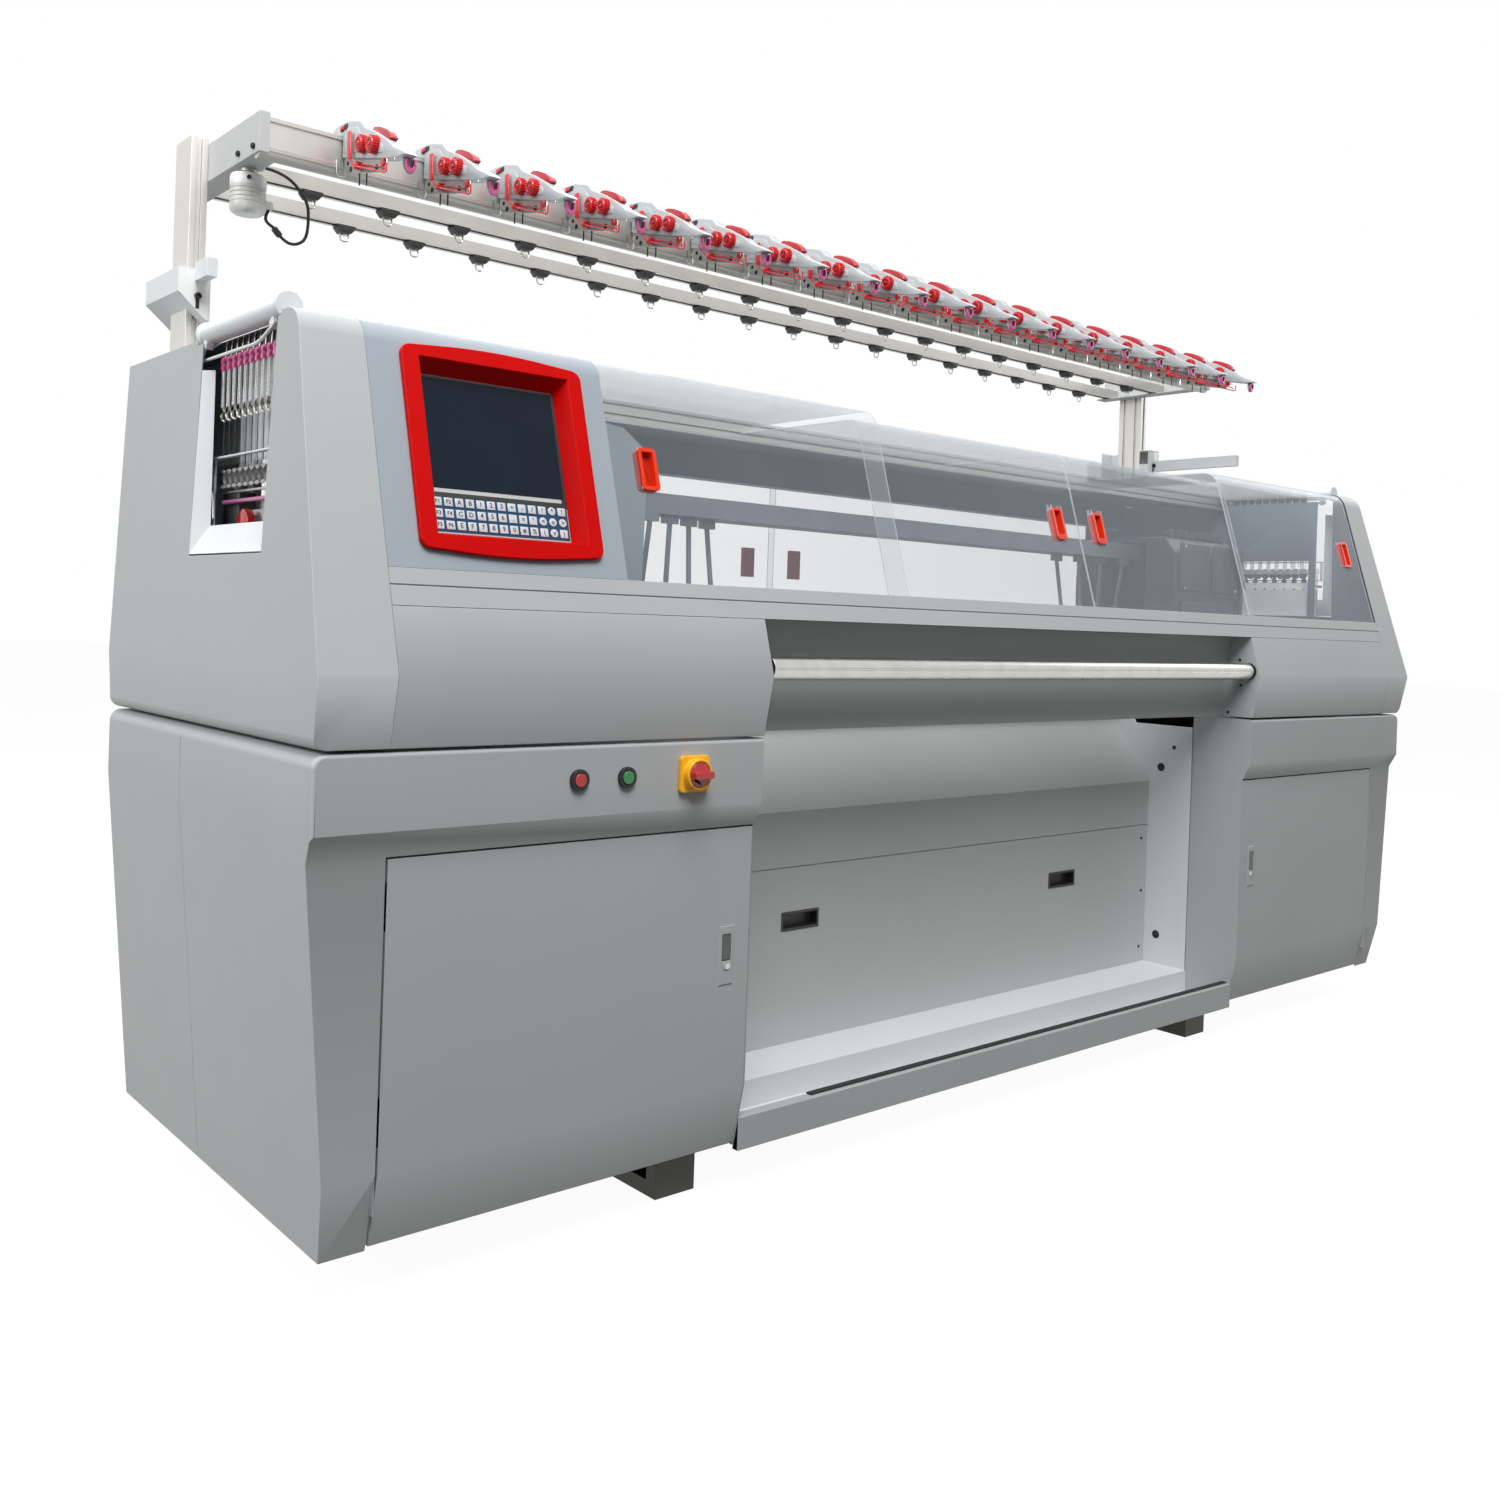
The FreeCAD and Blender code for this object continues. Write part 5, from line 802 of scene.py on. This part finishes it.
def toothedWheel(x, forward, above):
    # a fluted thumb wheel whose dish is painted darker as shade
    one = tensionUnit
    _, y, z = unitPoint(x, forward, above)
    outline = []
    for i in range(one["teeth"] * 4):
        turn = 2 * math.pi * i / (one["teeth"] * 4)
        radius = one["knobRadius"] if i % 4 in (0, 1) else one["knobRadius"] - one["toothDepth"]
        outline.append((y + radius * math.cos(turn), z + radius * math.sin(turn)))
    rim = dressed(plate("wheel", outline, "YZ", x - one["knobLength"], x), "knobRed")
    face = dressed(turned("wheelFace", one["wheelFace"], (x - one["knobLength"], y, z), "X", 28), "knobRed knobDark")
    for polygon in face.data.polygons:
        away = math.hypot(polygon.center.y - spot(0, y, 0).y, polygon.center.z - z / 1000) * 1000
        polygon.material_index = 1 if one["dish"][0] < away < one["dish"][1] else 0
    return joined("wheel", [rim, face])


def addTensionUnits():
    one = tensionUnit
    start = one["first"]
    case = dressed(unitSlab("case", -3.8, 17.8), "unitGrey knobDark", 1.6, 3)
    panel = dressed(unitSlab("panel", -5, -3), "unitGrey", 0.9)
    lens = dressed(unitSlab("lens", 1.5, 15.5), "lensRed", 2.4, 3)
    sidePlate = dressed(unitSlab("sidePlate", 0, 2), "unitPlate", 0.5, 1)
    wheels = [toothedWheel(start - 4, *knob) for knob in one["knobs"]]
    made = [case, panel, lens, sidePlate]
    # slots and screws on the side plate; the slots are black discs, painted shade in the holes
    for forward, above, radius in ((14, -46, 3.4), (26, -58, 4.2), (52, -62, 4.2), (118, -76, 5.0), (132, -80, 2.2)):
        _, y, z = unitPoint(0, forward, above)
        hole = drum("slot", (y, z), radius, start - 0.6, start + 0.3, "X", 16)
        made.append(dressed(hole, "void" if radius > 3 else "steel"))
    # slider on the case's flank
    low, high = unitPoint(start - 5.6, 18, 7), unitPoint(start - 3.4, -6, 15.4)
    bed = dressed(block("sliderBed", low, high), "blackPlastic")
    low, high = unitPoint(start - 7.6, 9, 8.4), unitPoint(start - 4.8, -4, 14)
    slider = dressed(block("slider", low, high), "knobRed", 0.8)
    made += [bed, slider]
    # flap at the tip
    made.append(dressed(unitTip("flap", 202, 200), "unitGrey", 0.5))
    # steel loop at the tip and its two hanging pins
    made.append(dressed(unitWire("tipLoop", 2.0, 2), "steel"))
    for forward, tall in ((32, 16), (58, 22)):
        top = unitPoint(start + 12, forward, -56)
        pin = drum("pin", top[:2], 1.3, top[2] - tall - 10, top[2] + 6, "Z", 8)
        made.append(dressed(pin, "blackPlastic"))
    # small red tensioner knob near the tip
    _, y, z = unitPoint(0, 148, -76)
    cap = turned("tensioner", [(0, 0), (5.2, 0), (6, 1), (6, 5), (5, 6.4), (0, 7)], (start - 6.6, y, z), "X", 16)
    made.append(dressed(cap, "glossRed"))
    shaded(made + wheels, 38)
    unit = joined("tensionUnit01", made)
    wheelPair = joined("unitWheels01", wheels)
    # red feeler arm: a flat lever, its hub and two wires that run out to the tip
    lever = unitSlab("lever", -12, -9.4)
    hub = drum("hub", unitPoint(0, 65, -63)[1:], 6.4, start - 12, start + 0.2, "X", 20)
    for piece in (lever, hub):
        soften(piece, 0.8)
    arms = [lever, hub, unitWire("outerWire", 2.8), unitWire("innerWire", 2.6), unitWire("crossWire", 2.6)]
    for piece in arms:
        coat(piece, "knobRed")
    arms.append(dressed(unitTip("eyelet", 207.8, 202), "magenta", 1.0))
    shaded(arms)
    feeler = joined("feelerArm01", arms)
    for kind, node in ((unit, "tension_units"), (wheelPair, "tension_knobs"), (feeler, "feeler_arms")):
        rideWith(kind, node)
        for i in range(1, one["count"]):
            rideWith(copyOf(kind, x=one["pitch"] * i, name="%s%02d" % (kind.name[:-2], i + 1)), node)
        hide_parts(node)


addTensionUnits()
print("tension units")

yarnHolder = {
    "front": (-1198, 669, 18),
    "back": (-1068, 824, 17),
    "pitch": 140,
    "top": 1597,
    "hat": [(-17.3, -0.2), (-17.3, -3.4), (-14.5, -6.5), (-11.4, -10.2), (-9.4, -12.8), (9.4, -12.8), (11.4, -10.2),
        (14.5, -6.5), (17.3, -3.4), (17.3, -0.2)],
    "ring": [(-7.6, 1586), (-8, 1577), (-6.2, 1571.6), (0, 1569.6), (6.2, 1571.6), (8, 1577), (7.6, 1586)],
}


def addYarnHolders():
    one = yarnHolder
    x, y, _ = one["front"]
    hat = dressed(plate("holderHat", [(x + px, one["top"] + pz) for px, pz in one["hat"]], "XZ", y - 13, y + 13),
            "blackPlastic", 1.4)
    shaded([hat])
    ring = dressed(wire("holderRing", [(x + px, y, z) for px, z in one["ring"]], 3.0), "steel")
    nut = dressed(drum("holderNut", (x, y), 4.6, 1580.5, 1584.5, "Z", 6), "steel")
    holder = joined("yarnHolder01", [hat, ring, nut])
    places = [(start + one["pitch"] * i - x, depth - y) for start, depth, count in (one["front"], one["back"])
            for i in range(count)]
    rideWith(holder, "yarn_holders")
    for number, (across, behind) in enumerate(places[1:], 2):
        rideWith(copyOf(holder, x=across, y=behind, name="yarnHolder%02d" % number), "yarn_holders")
    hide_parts("yarn_holders")


addYarnHolders()
print("yarn holders")

warningLamp = {
    "middle": (-1325, 612),
    "body": [(0, 1519.5), (17, 1519.5), (22, 1521), (26.4, 1525), (27.6, 1530), (27.6, 1536), (26.6, 1537),
        (27.8, 1538), (27.8, 1543), (26.6, 1544), (27.8, 1545), (27.8, 1550), (26.6, 1551), (27.8, 1552),
        (27.8, 1557), (26.6, 1558), (27.6, 1559), (27.6, 1564), (0, 1564)],
    "cap": [(0, 1563.6), (27.6, 1563.6), (28, 1565), (28, 1578), (26, 1582), (21, 1583), (0, 1583)],
    "neck": [(0, 1582.5), (12.2, 1582.5), (12.4, 1584), (10.6, 1586), (12.4, 1588), (12.4, 1593.8), (0, 1593.8)],
}


def addWarningLamp():
    one = warningLamp
    x, y = one["middle"]
    body = dressed(turned("lampBody", one["body"], (x, y, 0), "Z", 40), "lampFrost")
    cap = dressed(turned("lampCap", one["cap"], (x, y, 0), "Z", 40), "whitePlastic")
    neck = dressed(turned("lampNeck", one["neck"], (x, y, 0), "Z", 28), "noseAluminium")
    core = drum("lampCore", (x, y), 10, 1526, 1566, "Z", 20)
    dressed(core, "whitePlastic", 3, 3)
    boss = block("lampBoss", (x + 22, y - 6, 1535.2), (x + 39.6, y + 6, 1548.8))
    dressed(boss, "whitePlastic", 2, 3)
    screw = dressed(drum("lampScrew", (x - 9, 1573), 3.2, y - 29, y - 24, "Y", 14), "blackSteel")
    made = [body, cap, neck, core, boss, screw]
    shaded(made)
    lamp = joined("warningLamp", made)
    rideWith(lamp, "warning_lamp")
    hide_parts("warning_lamp")


addWarningLamp()
print("warning lamp")

display = {
    "window": (-1276.6, -1042.4, 189.4, 439.6),
    "panel": (-1273, -1054, 199, 427),
    "panelInside": 18.5,
    "screen": (-1269.5, -1058.5, 263, 423.5),
    "keypad": (-1270.5, -1055.5, 201, 253),
    "columns": 13,
    "rows": 3,
    "keyWide": 12.6,
    "keyTall": 12.4,
    "letterTall": 0.0096,      # size of the marks, in metres: one letter, or a pair
    "pairTall": 0.0078,
    "labels": ["F1 F2 A B 1 2 3 + - / ? ^ !", "F3 F4 C D 4 5 6 . = * < o >", "F5 F6 E F 7 8 9 0 # % ( v )"],
}


def frontPlate(name, left, right, low, high, inside, outside):
    # a slab parallel to the sloping front
    bpy.ops.mesh.primitive_cube_add(size=1)
    piece = named(name)
    for vertex in piece.data.vertices:
        x = left if vertex.co.x < 0 else right
        climb = low if vertex.co.z < 0 else high
        depth = outside if vertex.co.y < 0 else inside
        vertex.co = frontSpot(x, climb, depth)
    return piece


def pickFront(piece):
    pickFaces(piece, lambda place, normal: normal.y < -0.9)


def addKey(x, climb, face, rounded):
    # the arrow keys are round, the others are oblong
    wide, tall = display["keyWide"] / 2, display["keyTall"] / 2
    if rounded:
        bpy.ops.mesh.primitive_cylinder_add(vertices=20, radius=tall / 1000, depth=0.0014,
                location=frontSpot(x, climb, face - 2.1), rotation=(math.pi / 2 - math.atan(slope), 0, 0))
        key = bpy.context.object
        settle()
    else:
        key = frontPlate("key", x - wide, x + wide, climb - tall, climb + tall, face - 1.3, face - 2.8)
    coat(key, "keyPale")
    soften(key, 0.5 if rounded else 0.9, 2, 50)
    return key


def addKeyMark(label, x, climb, face):
    bpy.ops.object.text_add()
    word = bpy.context.object
    word.data.body = label
    word.data.size = display["letterTall"] if len(label) == 1 else display["pairTall"]
    word.data.offset = 0.0002
    word.data.align_x = "CENTER"
    word.data.align_y = "CENTER"
    word.data.resolution_u = 2
    only(word)
    bpy.ops.object.convert(target="MESH")
    word = bpy.context.object
    stand = Matrix.Rotation(math.pi / 2 - math.atan(slope), 4, "X")
    word.data.transform(Matrix.Translation(frontSpot(x, climb, face - 2.9)) @ stand)
    word.matrix_world = Matrix.Identity(4)
    coat(word, "keyInk")
    return word


def addDisplay():
    one = display
    face = one["panelInside"]
    # the red reveal tapers in from the bezel's window to the panel
    left, right, low, high = one["window"]
    reveal = frontPlate("displayReveal", left - 0.4, right + 0.4, low - 0.4, high + 0.4, face + 1.4, -7)
    coat(reveal, "bezelRed")
    pickFront(reveal)
    bpy.ops.mesh.inset(thickness=0.0006, depth=0)
    leave()
    inner = next(polygon for polygon in reveal.data.polygons if polygon.select)
    left, right, low, high = one["panel"]
    middle = inner.center.copy()
    for index in inner.vertices:
        corner = reveal.data.vertices[index]
        x = left if corner.co.x < middle.x else right
        corner.co = frontSpot(x, low if corner.co.z < middle.z else high, face)
    soften(reveal, 0.5, 2, 50)
    smooth(reveal, 30)
    panel = frontPlate("displayPanelPlate", *one["panel"], face + 0.6, face - 0.8)
    glass = frontPlate("screen", *one["screen"], face, face - 1.6)
    left, right, low, high = one["keypad"]
    sheet = frontPlate("keypadSheet", left, right, low, high, face, face - 1.4)
    dressed(panel, "screenRim", 0.6, 2, 35)
    dressed(glass, "screenGlass", 0.5, 2, 35)
    dressed(sheet, "keyBlue", 0.5, 2, 35)
    stepX = (right - left - 4) / one["columns"]
    stepZ = (high - low - 3) / one["rows"]
    keys = []
    letters = []
    for row in range(one["rows"]):
        labels = one["labels"][row].split()
        for column in range(one["columns"]):
            x = left + 2 + stepX * (column + 0.5)
            climb = high - 1.5 - stepZ * (row + 0.5)
            keys.append(addKey(x, climb, face, labels[column] in "^<o>v" and column > 9))
            letters.append(addKeyMark(labels[column], x, climb, face))
    keyRows = joined("keys", keys)
    shaded([keyRows])
    marks = joined("keyMarks", letters)
    for piece in (reveal, panel, glass, sheet, keyRows, marks):
        rideWith(piece, "control_panel")


addDisplay()
print("display and keypad")

coverHandles = {
    "front": [("front_cover_1", -910, 2), ("front_cover_2", 121, 20), ("front_cover_3", 256.5, 20),
        ("front_cover_4", 1287, 2)],
    "width": 32,
    "low": 286,
    "tall": 66,
    "proud": 3,
    "wall": 5,
    "depth": 11,
}


def roundedBox(left, right, low, high, radius, steps=4):
    # the outline of a rectangle with round corners
    outline = []
    for x, y, start in ((right - radius, low + radius, -90), (right - radius, high - radius, 0),
            (left + radius, high - radius, 90), (left + radius, low + radius, 180)):
        for step in range(steps + 1):
            turn = math.radians(start + 90 * step / steps)
            outline.append((x + radius * math.cos(turn), y + radius * math.sin(turn)))
    return outline


def addCoverHandles():
    one = coverHandles
    for node, middle, inset in one["front"]:
        half = one["width"] / 2 + 0.4
        outline = roundedBox(middle - half, middle + half, one["low"] - 0.4, one["low"] + one["tall"] + 0.4, 7)
        outside, inside = inset - one["proud"] - 0.4, inset + one["depth"] + 0.4
        handle = plate(node + "Handle", outline, "XZ", 0, 1)
        for vertex in handle.data.vertices:
            x, climb = vertex.co.x * 1000, vertex.co.z * 1000
            vertex.co = frontSpot(x, climb, inside if vertex.co.y - frontBand > 0.0005 else outside)
        coat(handle, "handleOrange", "handleDark")
        pickFront(handle)
        bpy.ops.mesh.inset(thickness=(one["wall"] + 1) / 1000, depth=0)
        # the handle's recess takes the darker orange, as painted shade
        bpy.ops.mesh.inset(thickness=0.0014, depth=-0.011)
        handle.active_material_index = 1
        bpy.ops.object.material_slot_assign()
        leave()
        soften(handle, 1.8, 3)
        smooth(handle, 40)
        rideWith(handle, node)


addCoverHandles()
print("cover handles")

sideFittings = {
    "across": 1412,            # the row of yarn arms, from the middle of the machine
    "first": 250,
    "pitch": 21.6,
    "count": 10,
    "clip": [(-4, 1258), (4, 1257), (8, 1251), (3, 1248), (6, 1243), (3.6, 1238), (-3.4, 1238), (-5, 1245),
        (-2, 1250), (-7, 1254)],
    "foot": [(-5, 1178), (7, 1176), (4, 1166), (-9, 1163), (-8, 1166), (1, 1169), (3, 1173), (-5, 1184)],
    "disc": [(0, -2.6), (6, -2.6), (8, -1), (12.4, -3.2), (14.2, -1.2), (12.6, 0.6), (8, 1.4), (0, 1.4)],
    "discHeight": 1080,
    "discHub": 9.5,
    "rackClip": [(-7, 1056), (7, 1056), (7, 1064), (3, 1067), (6, 1078), (-1, 1084), (-7, 1078), (-3, 1068)],
    "linerOut": ((1448, 968), (1438, 1238)),
    "linerIn": (1424, 1011),
    "linerBack": (461.6, 446),
    "linerFront": (187.4, 200),
    "bar": [(-1430, 464, 1284), (-1430, 486, 1262), (-1430, 484, 1255.5), (-1430, 470, 1254.6), (-1430, 281, 1254.6),
        (-1430, 262, 1257), (-1430, 221, 1271), (-1430, 203, 1277)],
}


def sheetOf(name, corners, thickness):
    # a thin sheet between four corners
    bpy.ops.mesh.primitive_plane_add(size=1)
    piece = named(name)
    order = [0, 1, 3, 2]
    for index, corner in zip(order, corners):
        piece.data.vertices[index].co = spot(*corner)
    applied(piece, "SOLIDIFY", thickness=thickness / 1000, offset=0)
    return piece


def mirrored(piece, name):
    # the same piece at the other end of the machine
    other = copyOf(piece, name=name)
    other.data.transform(Matrix.Scale(-1, 4, (1, 0, 0)))
    edit(other)
    bpy.ops.mesh.flip_normals()
    leave()
    return other


def bothEnds(pieces, name, node):
    made = joined("left" + name, pieces)
    rideWith(made, node)
    rideWith(mirrored(made, "right" + name), node)


def addSideLiners():
    one = sideFittings
    (lowOut, low), (highOut, high) = one["linerOut"]
    inside, innerLow = one["linerIn"]
    (backOut, backIn), (frontOut, frontIn) = one["linerBack"], one["linerFront"]

    def upright(name, outer, inner):
        return sheetOf(name, [(-lowOut, outer, low), (-highOut, outer, high), (-inside, inner, high),
                (-inside, inner, innerLow)], 1.6)

    rear = upright("rearReveal", backOut, backIn)
    near = upright("frontReveal", frontOut, frontIn)
    bottom = sheetOf("lowReveal", [(-lowOut, frontOut, low), (-lowOut, backOut, low), (-inside, backIn, innerLow),
            (-inside, frontIn, innerLow)], 1.6)
    # the plate behind the yarn arms stands on the shelf on two legs
    gate = plate("gatePlate", [(192, 966), (212, 966), (212, 1112), (440, 1112), (440, 966), (460, 966), (460, 1112),
            (700, 1112), (700, 1268), (192, 1268)], "YZ", -1367, -1365)
    # the switch box takes the darker paint as painted shade
    box = plate("switchPlate", [(444, 1004), (476, 1004), (482, 1086), (450, 1086)], "YZ", -1420, -1418)
    bends = ((452, 1060), (446, 1044), (458, 1042), (446, 1042), (444, 1022))
    pin = wire("switchPin", [(-1421.5, y, z) for y, z in bends], 2.4)
    for piece, name in ((rear, "palePaint"), (bottom, "palePaint"), (near, "palePaint"), (gate, "whitePlastic"),
            (box, "shadePaint")):
        dressed(piece, name, 0.5, 2, 35)
    coat(pin, "whitePlastic")
    # the gate's inner side is painted a darker blue grey, as painted shade inside the housing
    gate.data.materials.append(finish["insidePaint"])
    for polygon in gate.data.polygons:
        polygon.material_index = 1 if polygon.normal.x > 0.5 else 0
    bothEnds([rear, bottom, near, gate, box, pin], "SideLiner", "side_guides")
    screen = dressed(block("leftBackStrip", (-1367, 213, 967), (-1365, 439, 1056)), "whitePlastic", 0.5, 2, 35)
    rideWith(screen, "side_guides")


def addYarnArms():
    one = sideFittings
    x, y = -one["across"], one["first"]
    # one arm: magenta clip, clear blade with a ladder of rungs, steel hook, thin wire and ceramic disc below
    clip = plate("clip", [(y + py, z) for py, z in one["clip"]], "YZ", x - 4, x + 4)
    dressed(clip, "magenta", 1.0)
    blade = dressed(block("blade", (x - 1, y - 3.6, 1183), (x + 1, y + 3.6, 1240)), "clearArm", 0.6)
    rails = [wire("bladeRail", [(x - 1.6, y + side, 1184), (x - 1.6, y + side, 1239)], 1.7) for side in (-3, 3)]
    rungs = [wire("bladeRung", [(x - 1.6, y - 3, z), (x - 1.6, y + 3, z - 1.6)], 1.3)
            for z in (1188 + 6.2 * step for step in range(8))]
    for piece in rails + rungs:
        coat(piece, "whitePlastic")
    foot = plate("armFoot", [(y + py, z) for py, z in one["foot"]], "YZ", x - 3, x + 1)
    dressed(foot, "aluminium", 0.6)
    thread = dressed(wire("armWire", [(x, y - 6, 1166), (x, y - 6.6, 1113), (x + 1, y - 6.6, 1098)], 1.2),
            "blackSteel")
    upper = dressed(wire("upperWire", [(x + 2, y + 3, 1257), (x + 4, y + 4, 1283)], 1.2), "aluminium")
    disc = turned("disc", one["disc"], origin, "X", 28)
    carried(disc, (x + 4, y - 1, one["discHeight"]), 6)
    coat(disc, "noseAluminium", "blackPlastic")
    for polygon in disc.data.polygons:
        middle = spot(0, y - 1, one["discHeight"])
        away = math.hypot(polygon.center.y - middle.y, polygon.center.z - middle.z) * 1000
        polygon.material_index = 1 if away < one["discHub"] or polygon.center.y > spot(0, y + 2, 0).y else 0
    slat = dressed(block("slat", (x + 8, y - 8.6, 1262), (x + 15, y + 8.6, 1283)), "blackPlastic", 1.0)
    made = [clip, blade] + rails + rungs + [foot, thread, upper, disc, slat]
    shaded(made)
    arm = joined("yarnArm", made)
    arms = [arm] + [copyOf(arm, y=one["pitch"] * i) for i in range(1, one["count"])]
    bothEnds(arms, "YarnArms", "side_guides")


def addSideRods():
    one = sideFittings
    bar = dressed(wire("whiteBar", one["bar"], 5.0, resolution=3), "whitePlastic")
    clamps = []
    for y, z, tilt in ((462, 1277, 30), (212, 1273, -30)):
        clamp = block("clamp", (-6, origin[1] - 7, -6), (6, origin[1] + 7, 6))
        carried(dressed(clamp, "whitePlastic", 1.6), (-1430, y, z), tilt, "X")
        clamps.append(clamp)
    strip = dressed(block("guideStrip", (-1417, 196, 1109.6), (-1408, 486, 1112.6)), "palePaint", 0.8)
    lowRail = dressed(block("discRail", (-1402, 200, 1060), (-1396, 470, 1063.4)), "aluminium", 0.8)
    ends = [dressed(block("stripEnd", (-1412, y, 1060), (-1409, y + 6, 1110)), "palePaint", 0.6) for y in (196, 470)]
    motor = dressed(block("motorBox", (-1400, 404, 1012), (-1374.4, 466, 1061)), "blackPlastic", 2.4, 3)
    rod = dressed(drum("pinkRod", (-1408, 1046), 3.2, 196, 440, "Y", 20), "rodPink", 0.8)
    knob = dressed(turned("sideKnob", [(0, -7), (17, -7), (20, -5.4), (21, -2), (21, 4), (19, 6), (0, 6)],
            (-1398, 378, 1015), "X", 36), "glossRed")
    made = [bar, strip, lowRail, motor, rod, knob] + clamps + ends
    shaded(made)
    bothEnds(made, "SideRods", "side_guides")
    # perforated rack with black clips, at the far end
    rack = dressed(block("clipStrip", (1391, 214, 1014), (1393, 438, 1058)), "whitePlastic", 0.6)
    made = [rack]
    for i in range(7):
        y = 236 + 28 * i
        clip = plate("rackClip", [(y + py, z) for py, z in one["rackClip"]], "YZ", 1388.6, 1393.4)
        dressed(clip, "blackPlastic", 0.8)
        # the rack's holes are black discs, as painted shade
        hole = dressed(drum("rackHole", (y, 1036), 4, 1390.6, 1391.4, "X", 16), "void")
        made += [clip, hole]
    shaded(made)
    rideWith(joined("clipRack", made), "side_guides")


addSideLiners()
addYarnArms()
addSideRods()
print("side fittings")


def socketScrew(name, middle, axis, radius, proud, back=True, material="blackSteel"):
    # a cap screw with a hexagon socket, its head standing out along the axis
    depth = proud * 0.55
    profile = [(0, -0.4), (radius, -0.4), (radius, proud - 0.6), (radius - 0.6, proud), (radius * 0.5, proud),
            (radius * 0.5, proud - depth), (0, proud - depth)]
    screw = dressed(turned(name, profile, origin, axis, 20), material)
    carried(screw, middle, 180 if back else 0)
    shaded([screw])
    return screw


def addScrews():
    rack = [socketScrew("plateScrew", (-1348, y, z), "X", 4.8, 4.5) for y, z in ((593, 1607.5), (530.6, 1605))]
    rack.append(socketScrew("bracketScrew", (-1369, 700, 1396.3), "Y", 5.6, 7))
    front = plate("bracketFront", [(-1398, 1399), (-1356, 1360), (-1352, 1360), (-1352, 1436), (-1398, 1436)], "XZ",
            698.6, 700)
    dressed(front, "whitePlastic", 0.5, 2, 35)
    slotted = dressed(block("bracketSlot", (-1372, 698, 1376), (-1366, 698.8, 1391)), "blackSteel", 0.2, 1)
    bothEnds(rack + [front, slotted], "RackScrews", "rack_end_plates")
    baySpots = ((700, 421), (706, 297), (704, 165), (-706, 421), (-706, 297), (-704, 165))
    recessSpots = ((29.7, 795), (59.3, 732.5), (34, 852))
    rearSpots = [(x, z) for x in range(-1260, 1261, 420) for z in (760, 905)]
    bay = [socketScrew("bayScrew", (x, 257, z), "Y", 3.4, 1.6) for x, z in baySpots]
    recess = [socketScrew("plateScrew", (725, y, z), "X", 3.4, 1.4) for y, z in recessSpots]
    rear = [socketScrew("backScrew", (x, 812, z), "Y", 4.2, 2.2, back=False) for x, z in rearSpots]
    for screws, name, node in ((bay, "bayScrews", "lower_bay_cover"), (recess, "recessScrews", "right_housing"),
            (rear, "backScrews", "back_panels")):
        rideWith(joined(name, screws), node)


def addLockKeys():
    shape = [(0, -1), (6.6, -1), (6.8, 0.8), (5.8, 2.0), (5.2, 1.2), (4.6, 3.6), (3.0, 4.6), (0, 4.8)]
    for end, node in ((-1, "left_door"), (1, "right_door")):
        key = turned("key", shape, origin, "Y", 28)
        carried(dressed(key, "steel"), (end * 770, 19, 369), 180)
        shaded([key])
        rim = dressed(block("lockRim", (end * 770 - 12, 17.2, 429.6), (end * 770 + 12, 19, 431.4)), "steel", 0.4)
        rideWith(joined(node + "Key", [key, rim]), node)


def addRackRings():
    # a wire loop under the rail beside each unit
    shape = [(-7, 513, 1611), (-7, 512, 1589), (-4, 511, 1585.6), (0, 511, 1584.6), (4, 511, 1585.6), (7, 512, 1589),
            (7, 513, 1611)]
    ring = dressed(wire("rackRing", [(x - 1214.6, y, z) for x, y, z in shape], 2.4), "steel")
    rings = [ring] + [copyOf(ring, x=141.7 * i) for i in range(1, 18)]
    rideWith(joined("rackRings", rings), "rack_rail")


def addRearFlanges():
    # folded flanges close the leaning sides, just inside the back sheets
    low = [(1374, 129), (1406, 129), (1447.6, 619), (1447.6, 704), (1416, 704), (1416, 619)]
    high = [(1420, 738), (1448, 738), (1452.4, 816), (1437.4, 1208), (1434.4, 1282)]
    for end, side, inner in ((-1, "left", 1352), (1, "right", 1357)):
        roofEnd = high + [(inner, 1282), (inner, 1195), (1420, 1195)]
        for outline, name, node in ((low, "LowFlange", "_cabinet"), (roofEnd, "HighFlange", "_housing")):
            piece = plate(side + name, [(end * x, z) for x, z in outline], "XZ", 805, 807)
            rideWith(dressed(piece, "paint", 0.5, 2, 35), side + node)


addScrews()
addLockKeys()
addRackRings()
addRearFlanges()
print("screws, keys and rings")


def addInnerGuard():
    # the pale sheet beside the display, between the housing and the needle beds, painted darker as shade
    sheet = plate("innerGuard", [(-1346, 748), (-800, 748), (-793, 860), (-788, 1150), (-800, 1180), (-838, 1206),
            (-870, 1210), (-1346, 1210)], "XZ", 243, 245)
    foot = block("guardFoot", (-1346, 244, 748), (-800, 331, 750))
    for piece in (sheet, foot):
        dressed(piece, "shadePaint", 0.6, 2, 35)
    rideWith(joined("innerGuard", [sheet, foot]), "left_housing")


def addCarriageFront():
    made = []
    panels = (((828, 256, 1010), (960, 263, 1128), 3), ((974, 256, 1010), (1086, 263, 1128), 3),
            ((840, 254, 830), (1070, 263, 985), 5), ((850, 250, 880), (900, 256, 950), 3),
            ((1010, 250, 880), (1060, 256, 950), 3))
    for low, high, width in panels:
        made.append(dressed(block("carriagePanel", low, high), "carriageBlack", width, 3))
    head = [(0, -1), (10, -1), (11, 0.5), (11, 17), (9.6, 18.4), (4, 18.4), (4, 21), (0, 21)]
    for x in range(842, 1067, 32):
        made.append(dressed(turned("solenoid", head, (x, 300, 1142), "Z", 20), "blackPlastic"))
    for x in (846, 1078):
        for z in (1018, 1120):
            made.append(socketScrew("carriageScrew", (x, 256, z), "Y", 3.6, 2.2, material="steel"))
    shaded(made)
    rideWith(joined("carriageFront", made), "carriage")


addInnerGuard()
addCarriageFront()
print("inner guard and carriage")
